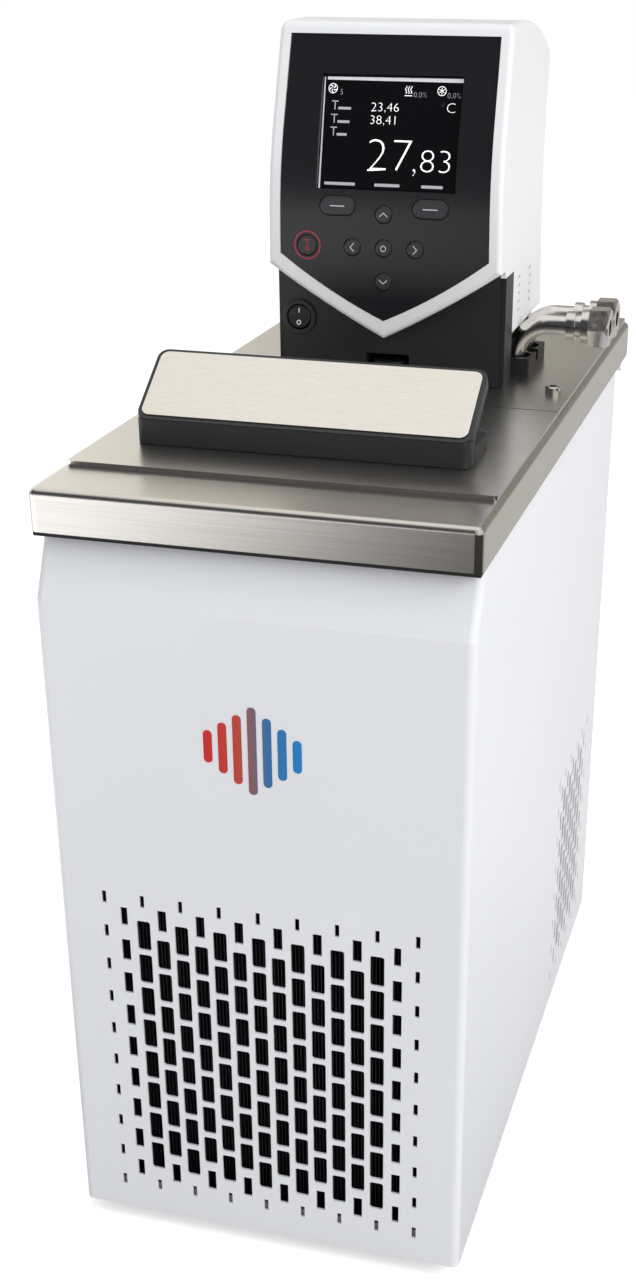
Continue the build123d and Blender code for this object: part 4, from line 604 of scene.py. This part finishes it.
def along(tree, parts, axis, start, end):
    """Runs from 0 to 1 between two values of one coordinate."""
    made = node(tree, "ShaderNodeMapRange", From_Min=start, From_Max=end)
    link(tree, parts.outputs[axis], made.inputs["Value"])
    return made.outputs["Result"]


def mix_colors(tree, factor, first, second):
    """Colour between two; each is a socket or four numbers."""
    made = tree.nodes.new("ShaderNodeMix")
    made.data_type = "RGBA"
    link(tree, factor, made.inputs["Factor"])
    for place, color in ((COLOR_A, first), (COLOR_B, second)):
        if isinstance(color, tuple):
            made.inputs[place].default_value = color
        else:
            link(tree, color, made.inputs[place])
    return made.outputs[COLOR_OUT]


def by_ray(tree, path, ray, others, these):
    """One shader for the rays of a kind and another for the rest."""
    made = tree.nodes.new("ShaderNodeMixShader")
    link(tree, path.outputs[ray], made.inputs["Fac"])
    link(tree, others, made.inputs[1])
    link(tree, these, made.inputs[2])
    return made.outputs[0]


def floor_material():
    """Pale floor; to mirror-like surfaces it looks bright at the left and dark at the right."""
    material = bpy.data.materials.new("floor")
    material.use_nodes = True
    tree = material.node_tree
    tree.nodes.clear()
    plain = node(tree, "ShaderNodeBsdfDiffuse", Color=(0.90, 0.90, 0.90, 1.0))
    white = node(tree, "ShaderNodeEmission", Color=(1.0, 1.0, 1.0, 1.0), Strength=0.5)
    lifted = tree.nodes.new("ShaderNodeAddShader")
    link(tree, plain.outputs[0], lifted.inputs[0])
    link(tree, white.outputs[0], lifted.inputs[1])
    place = tree.nodes.new("ShaderNodeNewGeometry")
    parts = tree.nodes.new("ShaderNodeSeparateXYZ")
    link(tree, place.outputs["Position"], parts.inputs[0])
    shade = ramp(tree, along(tree, parts, "X", -0.72, -0.16), [
        (0.0, (1.85, 1.85, 1.87)), (0.50, (1.30, 1.30, 1.31)), (0.78, (0.10, 0.09, 0.07)),
        (1.0, (0.006, 0.005, 0.004))])
    rear = mix_colors(tree, along(tree, parts, "Y", -0.10, 0.25), shade.outputs["Color"],
                      (0.60, 0.59, 0.57, 1.0))
    mirrored = tree.nodes.new("ShaderNodeEmission")
    link(tree, rear, mirrored.inputs["Color"])
    path = tree.nodes.new("ShaderNodeLightPath")
    seen = by_ray(tree, path, "Is Camera Ray", plain.outputs[0], lifted.outputs[0])
    surface = by_ray(tree, path, "Is Glossy Ray", seen, mirrored.outputs[0])
    out = tree.nodes.new("ShaderNodeOutputMaterial")
    link(tree, surface, out.inputs["Surface"])
    return material


def studio_world():
    """Soft even light, white to the camera; mirror-like surfaces see graded walls."""
    world = bpy.data.worlds.new("studio")
    world.use_nodes = True
    tree = world.node_tree
    tree.nodes.clear()
    soft = node(tree, "ShaderNodeBackground", Color=(0.97, 0.98, 1.0, 1.0), Strength=0.60)
    white = node(tree, "ShaderNodeBackground", Color=(1.0, 1.0, 1.0, 1.0), Strength=1.0)
    place = tree.nodes.new("ShaderNodeTexCoord")
    parts = tree.nodes.new("ShaderNodeSeparateXYZ")
    link(tree, place.outputs["Generated"], parts.inputs[0])
    rear = ramp(tree, along(tree, parts, "X", -0.46, -0.10), [
        (0.0, (1.18, 1.14, 1.07)), (0.5, (0.62, 0.59, 0.54)), (1.0, (0.30, 0.285, 0.255))])
    ahead = ramp(tree, along(tree, parts, "X", 0.0, 0.40), [
        (0.0, (0.06, 0.06, 0.066)), (0.5, (0.40, 0.39, 0.37)), (1.0, (0.85, 0.83, 0.80))])
    around = mix_colors(tree, along(tree, parts, "Y", -0.10, 0.30), ahead.outputs["Color"],
                        rear.outputs["Color"])
    overhead = mix_colors(tree, along(tree, parts, "Z", 0.76, 0.90), around,
                          (1.00, 0.98, 0.95, 1.0))
    mirrored = tree.nodes.new("ShaderNodeBackground")
    link(tree, overhead, mirrored.inputs["Color"])
    path = tree.nodes.new("ShaderNodeLightPath")
    lighting = by_ray(tree, path, "Is Glossy Ray", soft.outputs[0], mirrored.outputs[0])
    surface = by_ray(tree, path, "Is Camera Ray", lighting, white.outputs[0])
    out = tree.nodes.new("ShaderNodeOutputWorld")
    link(tree, surface, out.inputs["Surface"])
    return world


def soft_light(name, location, target, size, power):
    """Square area light that mirror-like surfaces don't show."""
    data = bpy.data.lights.new(name, "AREA")
    data.shape = "SQUARE"
    data.size = size
    data.energy = power
    light = bpy.data.objects.new(name, data)
    light.location = location
    aim = Vector(target) - Vector(location)
    light.rotation_euler = aim.to_track_quat("-Z", "Y").to_euler()
    light.visible_glossy = False
    bpy.context.scene.collection.objects.link(light)


floor = stage_plane("floor", 12.0, (0, 0, -0.0005))
floor.data.materials.append(floor_material())
bpy.context.scene.world = studio_world()
soft_light("key_right", (1.9, -0.6, 1.4), (0.0, 0.0, 0.25), 1.3, 27.0)
soft_light("fill_front", (-0.9, -2.2, 1.3), (0.0, 0.0, 0.25), 1.4, 8.3)
soft_light("top", (0.1, 0.2, 2.2), (0.0, 0.0, 0.3), 1.2, 5.0)

scene = bpy.context.scene
scene.view_settings.view_transform = "Standard"

# Camera at the photograph's place
data = bpy.data.cameras.new("camera")
data.sensor_fit = "VERTICAL"
data.sensor_height = 36.0
data.lens = 49.27
data.shift_x = -0.0406
data.shift_y = 0.1018
camera = bpy.data.objects.new("camera", data)
camera.location = (0.239017, -0.849139, 0.616351)
camera.rotation_euler = (1.1136928, -0.0014448, 0.2732377)
scene.collection.objects.link(camera)
scene.camera = camera
